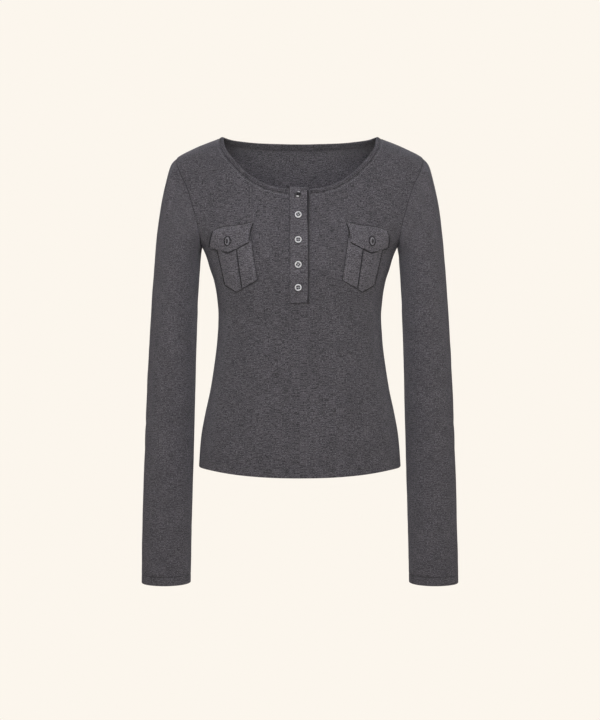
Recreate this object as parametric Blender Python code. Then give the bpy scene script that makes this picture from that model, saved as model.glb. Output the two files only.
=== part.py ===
"""Fitted long-sleeved jersey top, with a buttoned half placket and two flap chest pockets, in its worn form.

The origin lies between the two high points of the shoulders, +Z is up and the wearer faces -Y, so the
wearer's right is at -X. Sizes are in millimetres until they go into a mesh.

The cloth follows one surface round a general figure. A point of that surface is given by its angle round
the body, 0 at the centre front, 90 degrees at the side and 180 at the centre back, and by its height.
Panels are grids on that surface, and everything sewn onto a panel is a grid moved out from it.
"""

import math
from typing import NamedTuple

import bmesh
import bpy
import numpy as np
from mathutils import Matrix, Vector

MM = 0.001

# Cloth
WALL = 1.2
SEAM_GAP = 0.3
ARMHOLE_GAP = 0.45
HEM_FOLD = 14.0
CORNER_POWER = 2.2  # a body ring is a little squarer than an ellipse, whose power is 2
CREASE_ANGLE = math.radians(40)

# Levels
HEM_Z = -483.0
UNDERARM_Z = -159.4
NECK_CENTRE_Z = -81.5
BACK_NECK_Z = -13.6
SHOULDER_POINT_Z = -31.0
ARMHOLE_BOTTOM_SHARE = 0.33  # of its length, up each side, where panel rows stay level

# Sleeves
SLEEVE_SETTLE = 110.0  # drop over which the shape of the armhole fades into a plain sleeve ring
RUN_ON = 0.6  # cosine between sleeve and body above which the sleeve simply runs on from the body

# Neck binding
BINDING_WIDTH = 6.5
BINDING_END_GAP = 0.8

# Placket
SLOT_HALF_WIDTH = 12.5
SLOT_BOTTOM_Z = -231.0
PLACKET_SEWN_X = -14.4
PLACKET_FREE_X = 13.9
PLACKET_TOP_Z = -71.5
PLACKET_BOTTOM_Z = -236.3
UNDER_TOP_Z = -73.5
PLACKET_THICK = 1.6

# Pockets
ON_PANEL = 0.4
POCKET_THICK = 1.2
FLAP_THICK = 1.3
FLAP_LIFT = 3.2

# Buttons
BUTTON_CREASE_ANGLE = math.radians(35)
BUTTON_SIDES = 20
HOLE_RADIUS = 0.55
HOLE_OFFSET = 1.25
HOLE_SIDES = 8
HOLE_LENGTH = 8.0

# Grid counts
FINE_STEPS = 400
PANEL_COLUMNS = 9
HIP_ROWS = 10
CHEST_ROWS = 4
ARMHOLE_BOTTOM_ROWS = 3
ARMHOLE_SIDE_ROWS = 10
FRONT_CENTRE_ROWS = 3
BACK_CENTRE_ROWS = 5
SLEEVE_RINGS = 16
BAND_COLUMNS = 4
POCKET_ROWS = 6


class BindingLine(NamedTuple):
    """A line along the neck binding: its share of the width, its rise off the panel, and its thickness."""

    share: float
    rise: float
    thickness: float


class BodyRow(NamedTuple):
    """A level of the body: its half width, and how far it reaches in front of and behind the shoulders."""

    z: float
    half_width: float
    front: float
    back: float


class SleeveRow(NamedTuple):
    """A sleeve ring from its inner to its outer point: how far back its middle lies, and half its depth."""

    outer_x: float
    outer_z: float
    inner_x: float
    inner_z: float
    middle_y: float
    half_depth: float


class PocketLine(NamedTuple):
    """A line down a pocket piece from its top edge to its bottom edge, and how far it is raised."""

    top_x: float
    top_z: float
    bottom_x: float
    bottom_z: float
    rise: float


class ButtonRing(NamedTuple):
    """A ring of a button: its radius, and its height over the back."""

    radius: float
    height: float


class EdgePoint(NamedTuple):
    """A point of a cut edge as seen from the front: its distance from the centre line, and its height."""

    x: float
    z: float


BINDING = (
    BindingLine(0.0, 0.2, 1.8),
    BindingLine(0.5, 0.5, 2.1),
    BindingLine(1.0, 0.1, 1.6),
)

BODY = (
    BodyRow(4.0, 98.0, 40.0, 50.0),
    BodyRow(0.0, 110.5, 43.0, 58.0),
    BodyRow(-2.8, 118.1, 45.0, 63.0),
    BodyRow(-8.0, 133.0, 48.0, 69.0),
    BodyRow(-16.0, 152.3, 53.0, 75.0),
    BodyRow(-31.0, 179.6, 60.0, 83.0),
    BodyRow(-50.0, 193.0, 66.0, 90.0),
    BodyRow(-76.0, 198.0, 73.0, 96.0),
    BodyRow(-100.0, 195.0, 81.0, 100.0),
    BodyRow(-120.0, 184.0, 89.0, 102.0),
    BodyRow(-140.0, 163.0, 97.0, 102.0),
    BodyRow(-150.0, 151.5, 101.0, 101.0),
    BodyRow(-159.4, 142.8, 104.0, 100.0),
    BodyRow(-174.0, 136.3, 106.0, 98.0),
    BodyRow(-192.0, 130.5, 106.0, 95.0),
    BodyRow(-209.0, 124.8, 103.0, 91.0),
    BodyRow(-235.0, 120.4, 96.0, 84.0),
    BodyRow(-262.0, 118.6, 90.0, 78.0),
    BodyRow(-297.0, 120.7, 87.0, 77.0),
    BodyRow(-333.0, 125.4, 88.0, 84.0),
    BodyRow(-368.0, 131.4, 93.0, 93.0),
    BodyRow(-404.0, 139.2, 98.0, 101.0),
    BodyRow(-440.0, 145.0, 103.0, 106.0),
    BodyRow(-483.0, 147.0, 107.0, 108.0),
    BodyRow(-490.0, 147.2, 107.4, 108.2),
)

ARMHOLE = (
    EdgePoint(142.8, -159.4),
    EdgePoint(143.0, -150.0),
    EdgePoint(145.4, -132.0),
    EdgePoint(149.8, -115.0),
    EdgePoint(156.5, -90.0),
    EdgePoint(162.6, -72.0),
    EdgePoint(170.2, -57.0),
    EdgePoint(176.8, -42.0),
    EdgePoint(179.6, -31.0),
)

FRONT_NECK = (
    EdgePoint(12.5, -81.5),
    EdgePoint(27.0, -80.0),
    EdgePoint(44.0, -76.3),
    EdgePoint(60.0, -69.5),
    EdgePoint(77.0, -58.5),
    EdgePoint(92.0, -44.5),
    EdgePoint(105.5, -29.0),
    EdgePoint(114.0, -14.5),
    EdgePoint(118.1, -2.8),
)

BACK_NECK = (
    EdgePoint(12.5, -13.6),
    EdgePoint(27.0, -13.3),
    EdgePoint(50.0, -12.3),
    EdgePoint(75.0, -10.4),
    EdgePoint(95.0, -7.6),
    EdgePoint(110.0, -4.6),
    EdgePoint(118.1, -2.8),
)

SLEEVE = (
    SleeveRow(179.6, -31.0, 142.8, -159.4, 3.5, 54.5),
    SleeveRow(188.6, -43.5, 143.6, -163.0, 3.5, 53.5),
    SleeveRow(195.8, -69.2, 144.4, -168.0, 3.0, 53.5),
    SleeveRow(203.2, -104.0, 145.2, -176.0, 2.5, 52.5),
    SleeveRow(207.7, -140.0, 146.2, -190.0, 2.2, 50.5),
    SleeveRow(211.0, -174.0, 147.2, -206.0, 2.0, 48.3),
    SleeveRow(214.0, -209.0, 148.5, -226.0, 2.0, 46.0),
    SleeveRow(215.9, -235.5, 149.7, -244.3, 2.0, 44.0),
    SleeveRow(219.1, -281.0, 151.4, -283.0, 2.5, 40.5),
    SleeveRow(222.4, -332.7, 153.2, -333.0, 3.0, 38.0),
    SleeveRow(225.6, -386.0, 155.0, -386.0, 2.0, 36.0),
    SleeveRow(227.5, -430.5, 156.7, -430.5, -0.5, 34.5),
    SleeveRow(229.4, -475.0, 158.2, -475.0, -3.5, 33.0),
    SleeveRow(231.4, -533.4, 159.9, -533.4, -7.5, 31.0),
    SleeveRow(233.2, -592.0, 161.4, -592.0, -11.0, 29.2),
    SleeveRow(234.6, -655.0, 163.1, -655.0, -14.0, 28.0),
)

# From the edge nearest the placket to the edge nearest the side. The box pleat lies between two folds.
POCKET = (
    PocketLine(66.8, -136.0, 58.7, -200.5, 0.0),
    PocketLine(90.2, -139.4, 80.1, -215.4, 0.0),
    PocketLine(91.0, -139.5, 80.9, -215.9, 1.0),
    PocketLine(99.3, -141.6, 89.1, -221.6, 1.0),
    PocketLine(107.2, -143.4, 97.1, -216.9, 1.0),
    PocketLine(108.0, -143.7, 97.9, -216.4, 0.0),
    PocketLine(118.8, -147.5, 106.8, -210.9, 0.0),
)

FLAP = (
    PocketLine(65.1, -125.2, 70.0, -148.7, 0.0),
    PocketLine(79.0, -124.5, 86.0, -157.4, 0.0),
    PocketLine(95.0, -126.7, 101.7, -165.7, 0.0),
    PocketLine(110.5, -129.2, 115.6, -162.5, 0.0),
    PocketLine(124.4, -133.3, 128.7, -159.2, 0.0),
)

POCKET_SPLITS = (3, 1, 1, 1, 1, 2)
FLAP_SPLITS = (2, 2, 2, 2)
FLAP_HANG = (0.0, 0.2, 0.45, 0.7, 1.0)

BUTTON_X = -1.0
PLACKET_BUTTON_Z = (-82.7, -111.6, -146.5, -180.8, -213.5)
FLAP_BUTTON = EdgePoint(101.5, -148.3)

# From the back of the button, round its rim, to its dish.
BUTTON_SECTION = (
    ButtonRing(4.2, 0.0),
    ButtonRing(5.0, 0.4),
    ButtonRing(5.25, 1.1),
    ButtonRing(5.05, 1.9),
    ButtonRing(4.5, 2.3),
    ButtonRing(3.9, 2.1),
    ButtonRing(3.4, 1.4),
)


def through(stations, values, at):
    """Cubic curve through the values at their stations, read at the places given, with no overshoot."""
    order = np.argsort(stations)
    x = np.asarray(stations, float)[order]
    y = np.asarray(values, float)[order]
    step = np.diff(x)
    slope = np.diff(y) / step
    turn = slope[:-1] * slope[1:] > 0
    safe = np.where(turn, slope[:-1] + slope[1:], 1.0)
    tangent = np.concatenate([slope[:1], np.where(turn, 2 * slope[:-1] * slope[1:] / safe, 0.0), slope[-1:]])
    at = np.asarray(at, float)
    k = np.clip(np.searchsorted(x, at) - 1, 0, len(step) - 1)
    t = (at - x[k]) / step[k]
    rise = y[k + 1] - y[k]
    ease = t * t * (3 - 2 * t)
    leave = tangent[k] * step[k] * t * (1 - t) ** 2
    arrive = tangent[k + 1] * step[k] * t * t * (1 - t)
    return y[k] + rise * ease + leave - arrive


def column(table, name):
    """One named column of a table."""
    return np.array([getattr(row, name) for row in table])


def unit(vectors):
    """The vectors at length 1."""
    return vectors / np.linalg.norm(vectors, axis=-1, keepdims=True)


def half_width(z):
    """Half width of the body ring at a height."""
    return through(column(BODY, "z"), column(BODY, "half_width"), z)


def reach(z, to_back):
    """How far the body ring reaches to the back or the front at a height."""
    return through(column(BODY, "z"), column(BODY, "back" if to_back else "front"), z)


def body_point(angle, z):
    """Outer face of the cloth at an angle round the body, negative on the wearer's right, and a height."""
    angle, z = np.broadcast_arrays(np.asarray(angle, float), np.asarray(z, float))
    power = 2 / CORNER_POWER
    across = np.sign(np.sin(angle)) * np.abs(np.sin(angle)) ** power
    along = np.abs(np.cos(angle)) ** power
    depth = np.where(np.cos(angle) >= 0, -reach(z, False), reach(z, True))
    return np.stack([half_width(z) * across, depth * along, z], axis=-1)


def body_normal(angle, z):
    """Outward direction of the cloth there."""
    turn, rise = 0.01, 0.5
    round_body = body_point(angle + turn, z) - body_point(angle - turn, z)
    upward = body_point(angle, z + rise) - body_point(angle, z - rise)
    return unit(np.cross(round_body, upward))


def angle_at(x, z, to_back=False):
    """Angle round the body of the point at x on the ring of a height."""
    share = np.clip(np.abs(x) / half_width(z), 0, 1)
    angle = np.arcsin(share ** (CORNER_POWER / 2))
    return np.where(x < 0, -1.0, 1.0) * (np.pi - angle if to_back else angle)


def seam_angle(z, to_back):
    """Angle at which a panel stops at the side or shoulder seam, half a seam gap from it."""
    short = (SEAM_GAP / 2 / reach(z, to_back)) ** (CORNER_POWER / 2)
    return np.pi / 2 + short if to_back else np.pi / 2 - short


def along_line(points, shares):
    """Positions in a fine line of points, counted from 0, at the given shares of its length."""
    lengths = np.linalg.norm(np.diff(points, axis=0), axis=1)
    run = np.concatenate([[0.0], np.cumsum(lengths)])
    return np.interp(np.asarray(shares) * run[-1], run, np.arange(len(run)))


def edge_stations(table, to_back, shares):
    """(angle, z) at shares of the length of a cut edge, from the first point of its table to the last."""
    fine = np.linspace(0, len(table) - 1, FINE_STEPS)
    index = np.arange(len(table))
    x = through(index, column(table, "x"), fine)
    z = through(index, column(table, "z"), fine)
    angle = angle_at(x, z, to_back)
    limit = seam_angle(z, to_back)
    angle = np.maximum(angle, limit) if to_back else np.minimum(angle, limit)
    at = along_line(body_point(angle, z), shares)
    order = np.arange(FINE_STEPS)
    return np.interp(at, order, angle), np.interp(at, order, z)


def armhole_stations(to_back):
    """(angle, z) up the armhole: first round its bottom, where panel rows stay level, then up its side."""
    bottom = np.linspace(0, ARMHOLE_BOTTOM_SHARE, ARMHOLE_BOTTOM_ROWS + 1)
    side = np.linspace(ARMHOLE_BOTTOM_SHARE, 1, ARMHOLE_SIDE_ROWS + 1)
    return edge_stations(ARMHOLE, to_back, np.concatenate([bottom, side[1:]]))


def neck_stations(to_back):
    """(angle, z) along half of a panel's neck edge, from the middle column of the grid to the shoulder."""
    rows = ARMHOLE_SIDE_ROWS - (BACK_CENTRE_ROWS if to_back else FRONT_CENTRE_ROWS)
    return edge_stations(BACK_NECK if to_back else FRONT_NECK, to_back, np.linspace(0, 1, rows + 1))


def torso_levels():
    """Heights of the panel rows from the hem up to the underarm, with one at the hem fold and the slot."""
    fold = HEM_Z + HEM_FOLD
    hips = np.linspace(fold, SLOT_BOTTOM_Z, HIP_ROWS + 1)
    chest = np.linspace(SLOT_BOTTOM_Z, UNDERARM_Z, CHEST_ROWS + 1)
    return np.concatenate([[HEM_Z], hips, chest[1:]])


def centre_levels(to_back):
    """Heights of the panel rows down its centre, from the hem up to the middle of its neck edge."""
    level = armhole_stations(to_back)[1][1 : ARMHOLE_BOTTOM_ROWS + 1]
    rows, top = (BACK_CENTRE_ROWS, BACK_NECK_Z) if to_back else (FRONT_CENTRE_ROWS, NECK_CENTRE_Z)
    return np.concatenate([torso_levels(), level, np.linspace(level[-1], top, rows + 1)[1:]])


def half_panel(to_back):
    """(angle, z) of the grid of the wearer's left half of a panel, a row from the centre to the side.

    Rows are level up to the underarm. Above it they run from the centre line, then from the neck edge, to the
    armhole, and the last row is the shoulder seam.
    """
    levels = torso_levels()
    centre_z = centre_levels(to_back)
    neck_angle, neck_z = neck_stations(to_back)
    arm_angle, arm_z = armhole_stations(to_back)
    inner_angle = np.concatenate([angle_at(SLOT_HALF_WIDTH, centre_z, to_back), neck_angle[1:]])
    inner_z = np.concatenate([centre_z, neck_z[1:]])
    outer_angle = np.concatenate([seam_angle(levels, to_back), arm_angle[1:]])
    outer_z = np.concatenate([levels, arm_z[1:]])
    share = np.linspace(0, 1, PANEL_COLUMNS + 1)
    angle = inner_angle[:, None] + (outer_angle - inner_angle)[:, None] * share
    z = inner_z[:, None] + (outer_z - inner_z)[:, None] * share
    return angle, z


def add_object(name, vertices, faces, finish):
    """Object of a name from vertices in millimetres, with its finish."""
    mesh = bpy.data.meshes.new(name)
    mesh.from_pydata((np.asarray(vertices) * MM).tolist(), [], [list(map(int, face)) for face in faces])
    mesh.shade_smooth()
    mesh.set_sharp_from_angle(angle=CREASE_ANGLE)
    mesh.materials.append(finish)
    item = bpy.data.objects.new(name, mesh)
    bpy.context.scene.collection.objects.link(item)
    return item


def wall(name, outer, normals, thickness, finish, cells=None, closed=False):
    """Closed wall of cloth: a grid of outer points, the same points moved inward, and a rim round the edges.

    Seen from outside, the rows of the grid go up and its columns go to the right.
    """
    rows, columns = outer.shape[:2]
    inner = outer - normals * np.broadcast_to(thickness, (rows, columns))[..., None]
    index = np.arange(rows * columns).reshape(rows, columns)
    right = np.roll(index, -1, axis=1) if closed else index[:, 1:]
    left = index if closed else index[:, :-1]
    quads = np.stack([left[:-1], right[:-1], right[1:], left[1:]], axis=-1)
    quads = quads[cells] if cells is not None else quads.reshape(-1, 4)
    edges = {(a, b) for quad in quads.tolist() for a, b in zip(quad, quad[1:] + quad[:1])}
    count = rows * columns
    rim = [(b, a, a + count, b + count) for a, b in edges if (b, a) not in edges]
    # Both faces of the wall are split along the same, shorter diagonal of each cell.
    corners = outer.reshape(-1, 3)[quads]
    first = np.linalg.norm(corners[:, 0] - corners[:, 2], axis=1)
    second = np.linalg.norm(corners[:, 1] - corners[:, 3], axis=1)
    same = np.isclose(first, second)
    turned = np.where(((first < second) | same)[:, None], quads, np.roll(quads, -1, axis=1))
    triangles = np.concatenate([turned[:, [0, 1, 2]], turned[:, [0, 2, 3]]])
    faces = triangles.tolist() + (triangles[:, ::-1] + count).tolist() + sorted(rim)
    vertices = np.concatenate([outer.reshape(-1, 3), inner.reshape(-1, 3)])
    used = np.unique(np.concatenate([np.array(face) for face in faces]))
    renumber = np.zeros(len(vertices), int)
    renumber[used] = np.arange(len(used))
    return add_object(name, vertices[used], [renumber[list(face)] for face in faces], finish)


def panel(name, to_back, open_row, finish):
    """Front or back in one piece, with the middle column of its grid left out above a row."""
    angle, z = half_panel(to_back)
    side = -1 if to_back else 1
    angle = side * np.concatenate([-angle[:, ::-1], angle], axis=1)
    z = np.concatenate([z[:, ::-1], z], axis=1)
    cells = np.ones((len(z) - 1, z.shape[1] - 1), bool)
    cells[open_row:, PANEL_COLUMNS] = False
    thickness = np.full(z.shape, WALL)
    thickness[:2] = 2 * WALL  # the turned hem
    return wall(name, body_point(angle, z), body_normal(angle, z), thickness, finish, cells)


def armhole_ring():
    """Points and body normals round the wearer's left armhole: up its front, then down its back."""
    front_angle, front_z = armhole_stations(False)
    back_angle, back_z = armhole_stations(True)
    points = np.concatenate([body_point(front_angle, front_z), body_point(back_angle, back_z)[-2:0:-1]])
    normals = np.concatenate([body_normal(front_angle, front_z), body_normal(back_angle, back_z)[-2:0:-1]])
    points[[0, len(front_z) - 1], 1] = 0.0
    return points, normals


def sleeve_grid(rings):
    """Points of the wearer's left sleeve, a row for each ring from the armhole down to the cuff."""
    armhole, _ = armhole_ring()
    fine = np.linspace(0, len(SLEEVE) - 1, FINE_STEPS)
    index = np.arange(len(SLEEVE))
    table = {name: through(index, column(SLEEVE, name), fine) for name in SleeveRow._fields}
    line = np.stack([table["outer_x"], table["outer_z"]], axis=-1)
    at = along_line(line, np.linspace(0, 1, rings))
    ring = {name: np.interp(at, np.arange(FINE_STEPS), values)[:, None] for name, values in table.items()}
    outer = np.stack([ring["outer_x"], ring["outer_z"]], axis=-1)
    inner = np.stack([ring["inner_x"], ring["inner_z"]], axis=-1)
    centre = (outer + inner) / 2
    lean = (outer - inner) / 2
    # An ellipse from the inner point over the front to the outer point, then over the back.
    turn = np.linspace(-np.pi, np.pi, len(armhole), endpoint=False)
    root = np.einsum("jk,k->j", armhole[:, [0, 2]] - centre[0, 0], lean[0, 0]) / (lean[0, 0] @ lean[0, 0])
    front_or_back = np.where(np.arange(len(turn)) < len(turn) // 2, -1, 1)
    root_turn = front_or_back * np.arccos(np.clip(root, -1, 1))
    down = np.clip((ring["outer_z"][0] - ring["outer_z"]) / SLEEVE_SETTLE, 0, 1)
    settle = down * down * (3 - 2 * down)
    turn = root_turn + (turn - root_turn) * settle
    flat = centre + lean * np.cos(turn)[..., None]
    depth = ring["middle_y"] + ring["half_depth"] * np.sin(turn)
    points = np.stack([flat[..., 0], depth, flat[..., 1]], axis=-1)
    fade = (1 - settle)[..., None]
    return points + (armhole - points[0]) * fade


def sleeve_normals(points, root_normals):
    """Outward directions on a sleeve grid, the body's own where the sleeve runs on from the body."""
    along = np.gradient(points, axis=0)
    around = np.roll(points, -1, axis=1) - np.roll(points, 1, axis=1)
    normals = unit(np.cross(along, around))
    agree = np.clip(np.sum(normals[0] * root_normals, axis=-1, keepdims=True) / RUN_ON, 0, 1)
    normals[0] = unit(normals[0] * (1 - agree) + root_normals * agree)
    return normals


def sleeve(name, side, finish):
    """One sleeve, from the seam gap outside the armhole to the turned cuff."""
    _, root_normals = armhole_ring()
    points = sleeve_grid(SLEEVE_RINGS)
    cuff_z = SLEEVE[-1].outer_z
    # One ring lies at the top of the turned cuff.
    share = (cuff_z + HEM_FOLD - points[-2, 0, 2]) / (points[-1, 0, 2] - points[-2, 0, 2])
    points = np.insert(points, -1, points[-2] + (points[-1] - points[-2]) * share, axis=0)
    normals = sleeve_normals(points, root_normals)
    # The first ring moves off the armhole: along the arm, across the seam and, where the sleeve folds back
    # under the arm, off the body's face.
    arm = unit(np.array([SHOULDER_POINT_Z - UNDERARM_Z, 0.0, ARMHOLE[0].x - ARMHOLE[-1].x]))
    seam = np.roll(points[0], -1, axis=0) - np.roll(points[0], 1, axis=0)
    folded = 1 - np.clip(np.sum(normals[0] * root_normals, axis=-1, keepdims=True), 0, 1)
    away = unit(arm + unit(np.cross(seam, root_normals)) + root_normals * folded)
    points[0] += away * ARMHOLE_GAP
    thickness = np.full((len(points), 1), WALL)
    thickness[-2:] = 2 * WALL  # the turned cuff
    if side < 0:
        points, normals = points[:, ::-1] * [-1, 1, 1], normals[:, ::-1] * [-1, 1, 1]
    return wall(name, points[:, ::-1], normals[:, ::-1], thickness, finish, closed=True)


def neck_edge():
    """Panel neck edge from the placket at the wearer's left, round the back, to the placket at the right.

    Gives each point with its body normal. The ends are drawn in beside the upper placket band.
    """
    front_angle, front_z = neck_stations(False)
    back_angle, back_z = neck_stations(True)
    angle = np.concatenate([front_angle, back_angle[-2::-1]])
    z = np.concatenate([front_z, back_z[-2::-1]])
    points, normals = body_point(angle, z), body_normal(angle, z)
    points[len(front_z) - 1, 1] = 0.0
    mirror = np.array([-1.0, 1.0, 1.0])
    points = np.concatenate([points, points[::-1] * mirror])
    normals = np.concatenate([normals, normals[::-1] * mirror])
    stops = (0, 1, PLACKET_FREE_X + BINDING_END_GAP), (-1, -2, PLACKET_SEWN_X - BINDING_END_GAP)
    for end, inside, stop in stops:
        share = (stop - points[end, 0]) / (points[inside, 0] - points[end, 0])
        points[end] += (points[inside] - points[end]) * share
    return points, normals


def neck_binding(finish):
    """Binding: a strip that runs on from the panels' neck edge, a little proud of them on both faces."""
    points, normals = neck_edge()
    along = unit(np.gradient(points, axis=0))
    outward = unit(np.cross(normals, along))
    across, rise, thickness = (column(BINDING, name)[:, None, None] for name in BindingLine._fields)
    outer = points + outward * (SEAM_GAP + BINDING_WIDTH * across) + normals * rise
    facing = np.broadcast_to(normals, outer.shape)
    return wall("neck_binding", outer, facing, thickness[..., 0], finish)


def applied(name, x, z, lift, thickness, finish):
    """Cloth laid on the front: a grid of its points, its back lifted off the panel's outer face by lift."""
    angle = angle_at(x, z)
    points, normals = body_point(angle, z), body_normal(angle, z)
    outer = points + normals * (np.broadcast_to(lift, z.shape) + thickness)[..., None]
    return wall(name, outer, normals, thickness, finish)


def placket_band(name, edges_x, ends_z, lift, thickness, finish):
    """Upright band on the front, with a row at each of the panel's own rows down its centre."""
    bottom_z, top_z = ends_z
    levels = centre_levels(False)
    between = levels[(levels > bottom_z + SEAM_GAP) & (levels < top_z - SEAM_GAP)]
    levels = np.concatenate([[bottom_z], between, [top_z]])
    z, x = np.meshgrid(levels, np.linspace(*edges_x, BAND_COLUMNS), indexing="ij")
    return applied(name, x, z, lift, thickness, finish)


def pocket_grid(lines, splits, down, side):
    """(x, z, rise) of a pocket piece: columns spread between its lines, rows from its bottom up."""
    index = np.concatenate([[0.0]] + [k + np.arange(1, n + 1) / n for k, n in enumerate(splits)])
    order = np.arange(len(lines))
    table = {name: np.interp(index, order, column(lines, name)) for name in PocketLine._fields}
    down = np.array(down)[::-1, None]
    x = table["top_x"] + (table["bottom_x"] - table["top_x"]) * down
    z = table["top_z"] + (table["bottom_z"] - table["top_z"]) * down
    rise = np.broadcast_to(table["rise"], z.shape)
    if side < 0:
        return -x[:, ::-1], z[:, ::-1], rise[:, ::-1]
    return x, z, rise


def pocket(name, side, finish):
    """Pocket bag with its box pleat."""
    x, z, rise = pocket_grid(POCKET, POCKET_SPLITS, np.linspace(0, 1, POCKET_ROWS + 1), side)
    return applied(name, x, z, ON_PANEL + rise, POCKET_THICK, finish)


def flap(name, side, finish):
    """Pointed flap: sewn down along its top, then standing off over the bag."""
    x, z, _ = pocket_grid(FLAP, FLAP_SPLITS, FLAP_HANG, side)
    lift = np.full((len(z), 1), FLAP_LIFT)
    lift[-1] = ON_PANEL  # the sewn edge
    return applied(name, x, z, lift, FLAP_THICK, finish)


def button_mesh(finish):
    """Button lying on its back at the origin: turned, with a raised rim, and bored with four holes."""
    turned = bmesh.new()
    angles = np.linspace(0, 2 * np.pi, BUTTON_SIDES, endpoint=False)
    rings = [
        [turned.verts.new(Vector((r * math.cos(a), r * math.sin(a), h)) * MM) for a in angles]
        for r, h in BUTTON_SECTION
    ]
    for low, high in zip(rings, rings[1:]):
        for k in range(BUTTON_SIDES):
            n = (k + 1) % BUTTON_SIDES
            turned.faces.new((low[k], low[n], high[n], high[k]))
    turned.faces.new(rings[0][::-1])
    turned.faces.new(rings[-1])
    body = bpy.data.meshes.new("button_body")
    turned.to_mesh(body)
    turned.free()
    drill = bmesh.new()
    for k in range(4):
        turn = math.pi / 4 + k * math.pi / 2
        made = bmesh.ops.create_cone(
            drill,
            cap_ends=True,
            segments=HOLE_SIDES,
            radius1=HOLE_RADIUS * MM,
            radius2=HOLE_RADIUS * MM,
            depth=HOLE_LENGTH * MM,
        )
        shift = (HOLE_OFFSET * math.cos(turn) * MM, HOLE_OFFSET * math.sin(turn) * MM, 0.0)
        bmesh.ops.translate(drill, verts=made["verts"], vec=shift)
    holes = bpy.data.meshes.new("button_holes")
    drill.to_mesh(holes)
    drill.free()
    blank = bpy.data.objects.new("button_blank", body)
    cutter = bpy.data.objects.new("button_drill", holes)
    for item in (blank, cutter):
        bpy.context.scene.collection.objects.link(item)
    bore = blank.modifiers.new("holes", "BOOLEAN")
    bore.operation = "DIFFERENCE"
    bore.object = cutter
    made = bpy.data.meshes.new_from_object(blank.evaluated_get(bpy.context.evaluated_depsgraph_get()))
    for item in (blank, cutter):
        bpy.data.objects.remove(item, do_unlink=True)
    made.name = "button"
    made.shade_smooth()
    made.set_sharp_from_angle(angle=BUTTON_CREASE_ANGLE)
    made.materials.clear()
    made.materials.append(finish)
    return made


def button(name, mesh, x, z, lift):
    """Button on the front, its back lifted off the panel's face along the cloth's outward direction."""
    angle = angle_at(x, z)
    place, outward = body_point(angle, z), Vector(body_normal(angle, z))
    item = bpy.data.objects.new(name, mesh)
    upward = Vector((0, 0, 1))
    across = upward.cross(outward).normalized()
    turn = Matrix((across, outward.cross(across), outward)).transposed()
    item.matrix_world = Matrix.Translation((Vector(place) + outward * lift) * MM) @ turn.to_4x4()
    bpy.context.scene.collection.objects.link(item)
    return item


def clear_scene():
    """Empty the scene."""
    for item in list(bpy.data.objects):
        bpy.data.objects.remove(item, do_unlink=True)


def make_finish(name, colour, roughness):
    """Material with one Principled shader."""
    material = bpy.data.materials.new(name)
    material.use_nodes = True
    shader = material.node_tree.nodes["Principled BSDF"]
    shader.inputs["Base Color"].default_value = (*colour, 1.0)
    shader.inputs["Roughness"].default_value = roughness
    shader.inputs["Metallic"].default_value = 0.0
    return material


def main():
    """Make every piece of the top."""
    clear_scene()
    jersey = make_finish("charcoal_jersey", (0.082, 0.076, 0.083), 0.9)
    panel("front", False, 1 + HIP_ROWS, jersey)
    panel("back", True, len(centre_levels(True)) - 1, jersey)
    sleeve("sleeve_left", 1, jersey)
    sleeve("sleeve_right", -1, jersey)
    neck_binding(jersey)
    over = (PLACKET_SEWN_X, PLACKET_FREE_X), (PLACKET_BOTTOM_Z, PLACKET_TOP_Z)
    placket_band("placket_over", *over, ON_PANEL, PLACKET_THICK, jersey)
    edge = SLOT_HALF_WIDTH - SEAM_GAP
    under = (-edge, edge), (SLOT_BOTTOM_Z + SEAM_GAP, UNDER_TOP_Z)
    placket_band("placket_under", *under, -WALL, WALL, jersey)
    mesh = button_mesh(make_finish("smoke_button", (0.32, 0.31, 0.32), 0.25))
    for number, z in enumerate(PLACKET_BUTTON_Z, 1):
        button(f"placket_button_{number}", mesh, BUTTON_X, z, ON_PANEL + PLACKET_THICK + SEAM_GAP)
    for name, side in (("left", 1), ("right", -1)):
        pocket(f"pocket_{name}", side, jersey)
        flap(f"flap_{name}", side, jersey)
        lift = FLAP_LIFT + FLAP_THICK + SEAM_GAP
        button(f"pocket_button_{name}", mesh, side * FLAP_BUTTON.x, FLAP_BUTTON.z, lift)


if __name__ == "__main__":
    main()
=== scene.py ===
"""Looks of a fitted long-sleeved jersey top with a buttoned half placket and flap chest pockets.

The body cloth follows one surface round a general figure. A point of it is given by an angle round the body,
0 at the centre front and a half turn at the centre back, and by its height. Panels are grids on that surface,
and everything sewn onto a panel is a grid laid over it. Sizes are in millimetres until they go into a mesh.
+Z is up, the wearer faces -Y, and the wearer's left is at +X.
"""

import logging
import math
import sys
from dataclasses import dataclass, field
from enum import Enum
from typing import NamedTuple

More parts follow.
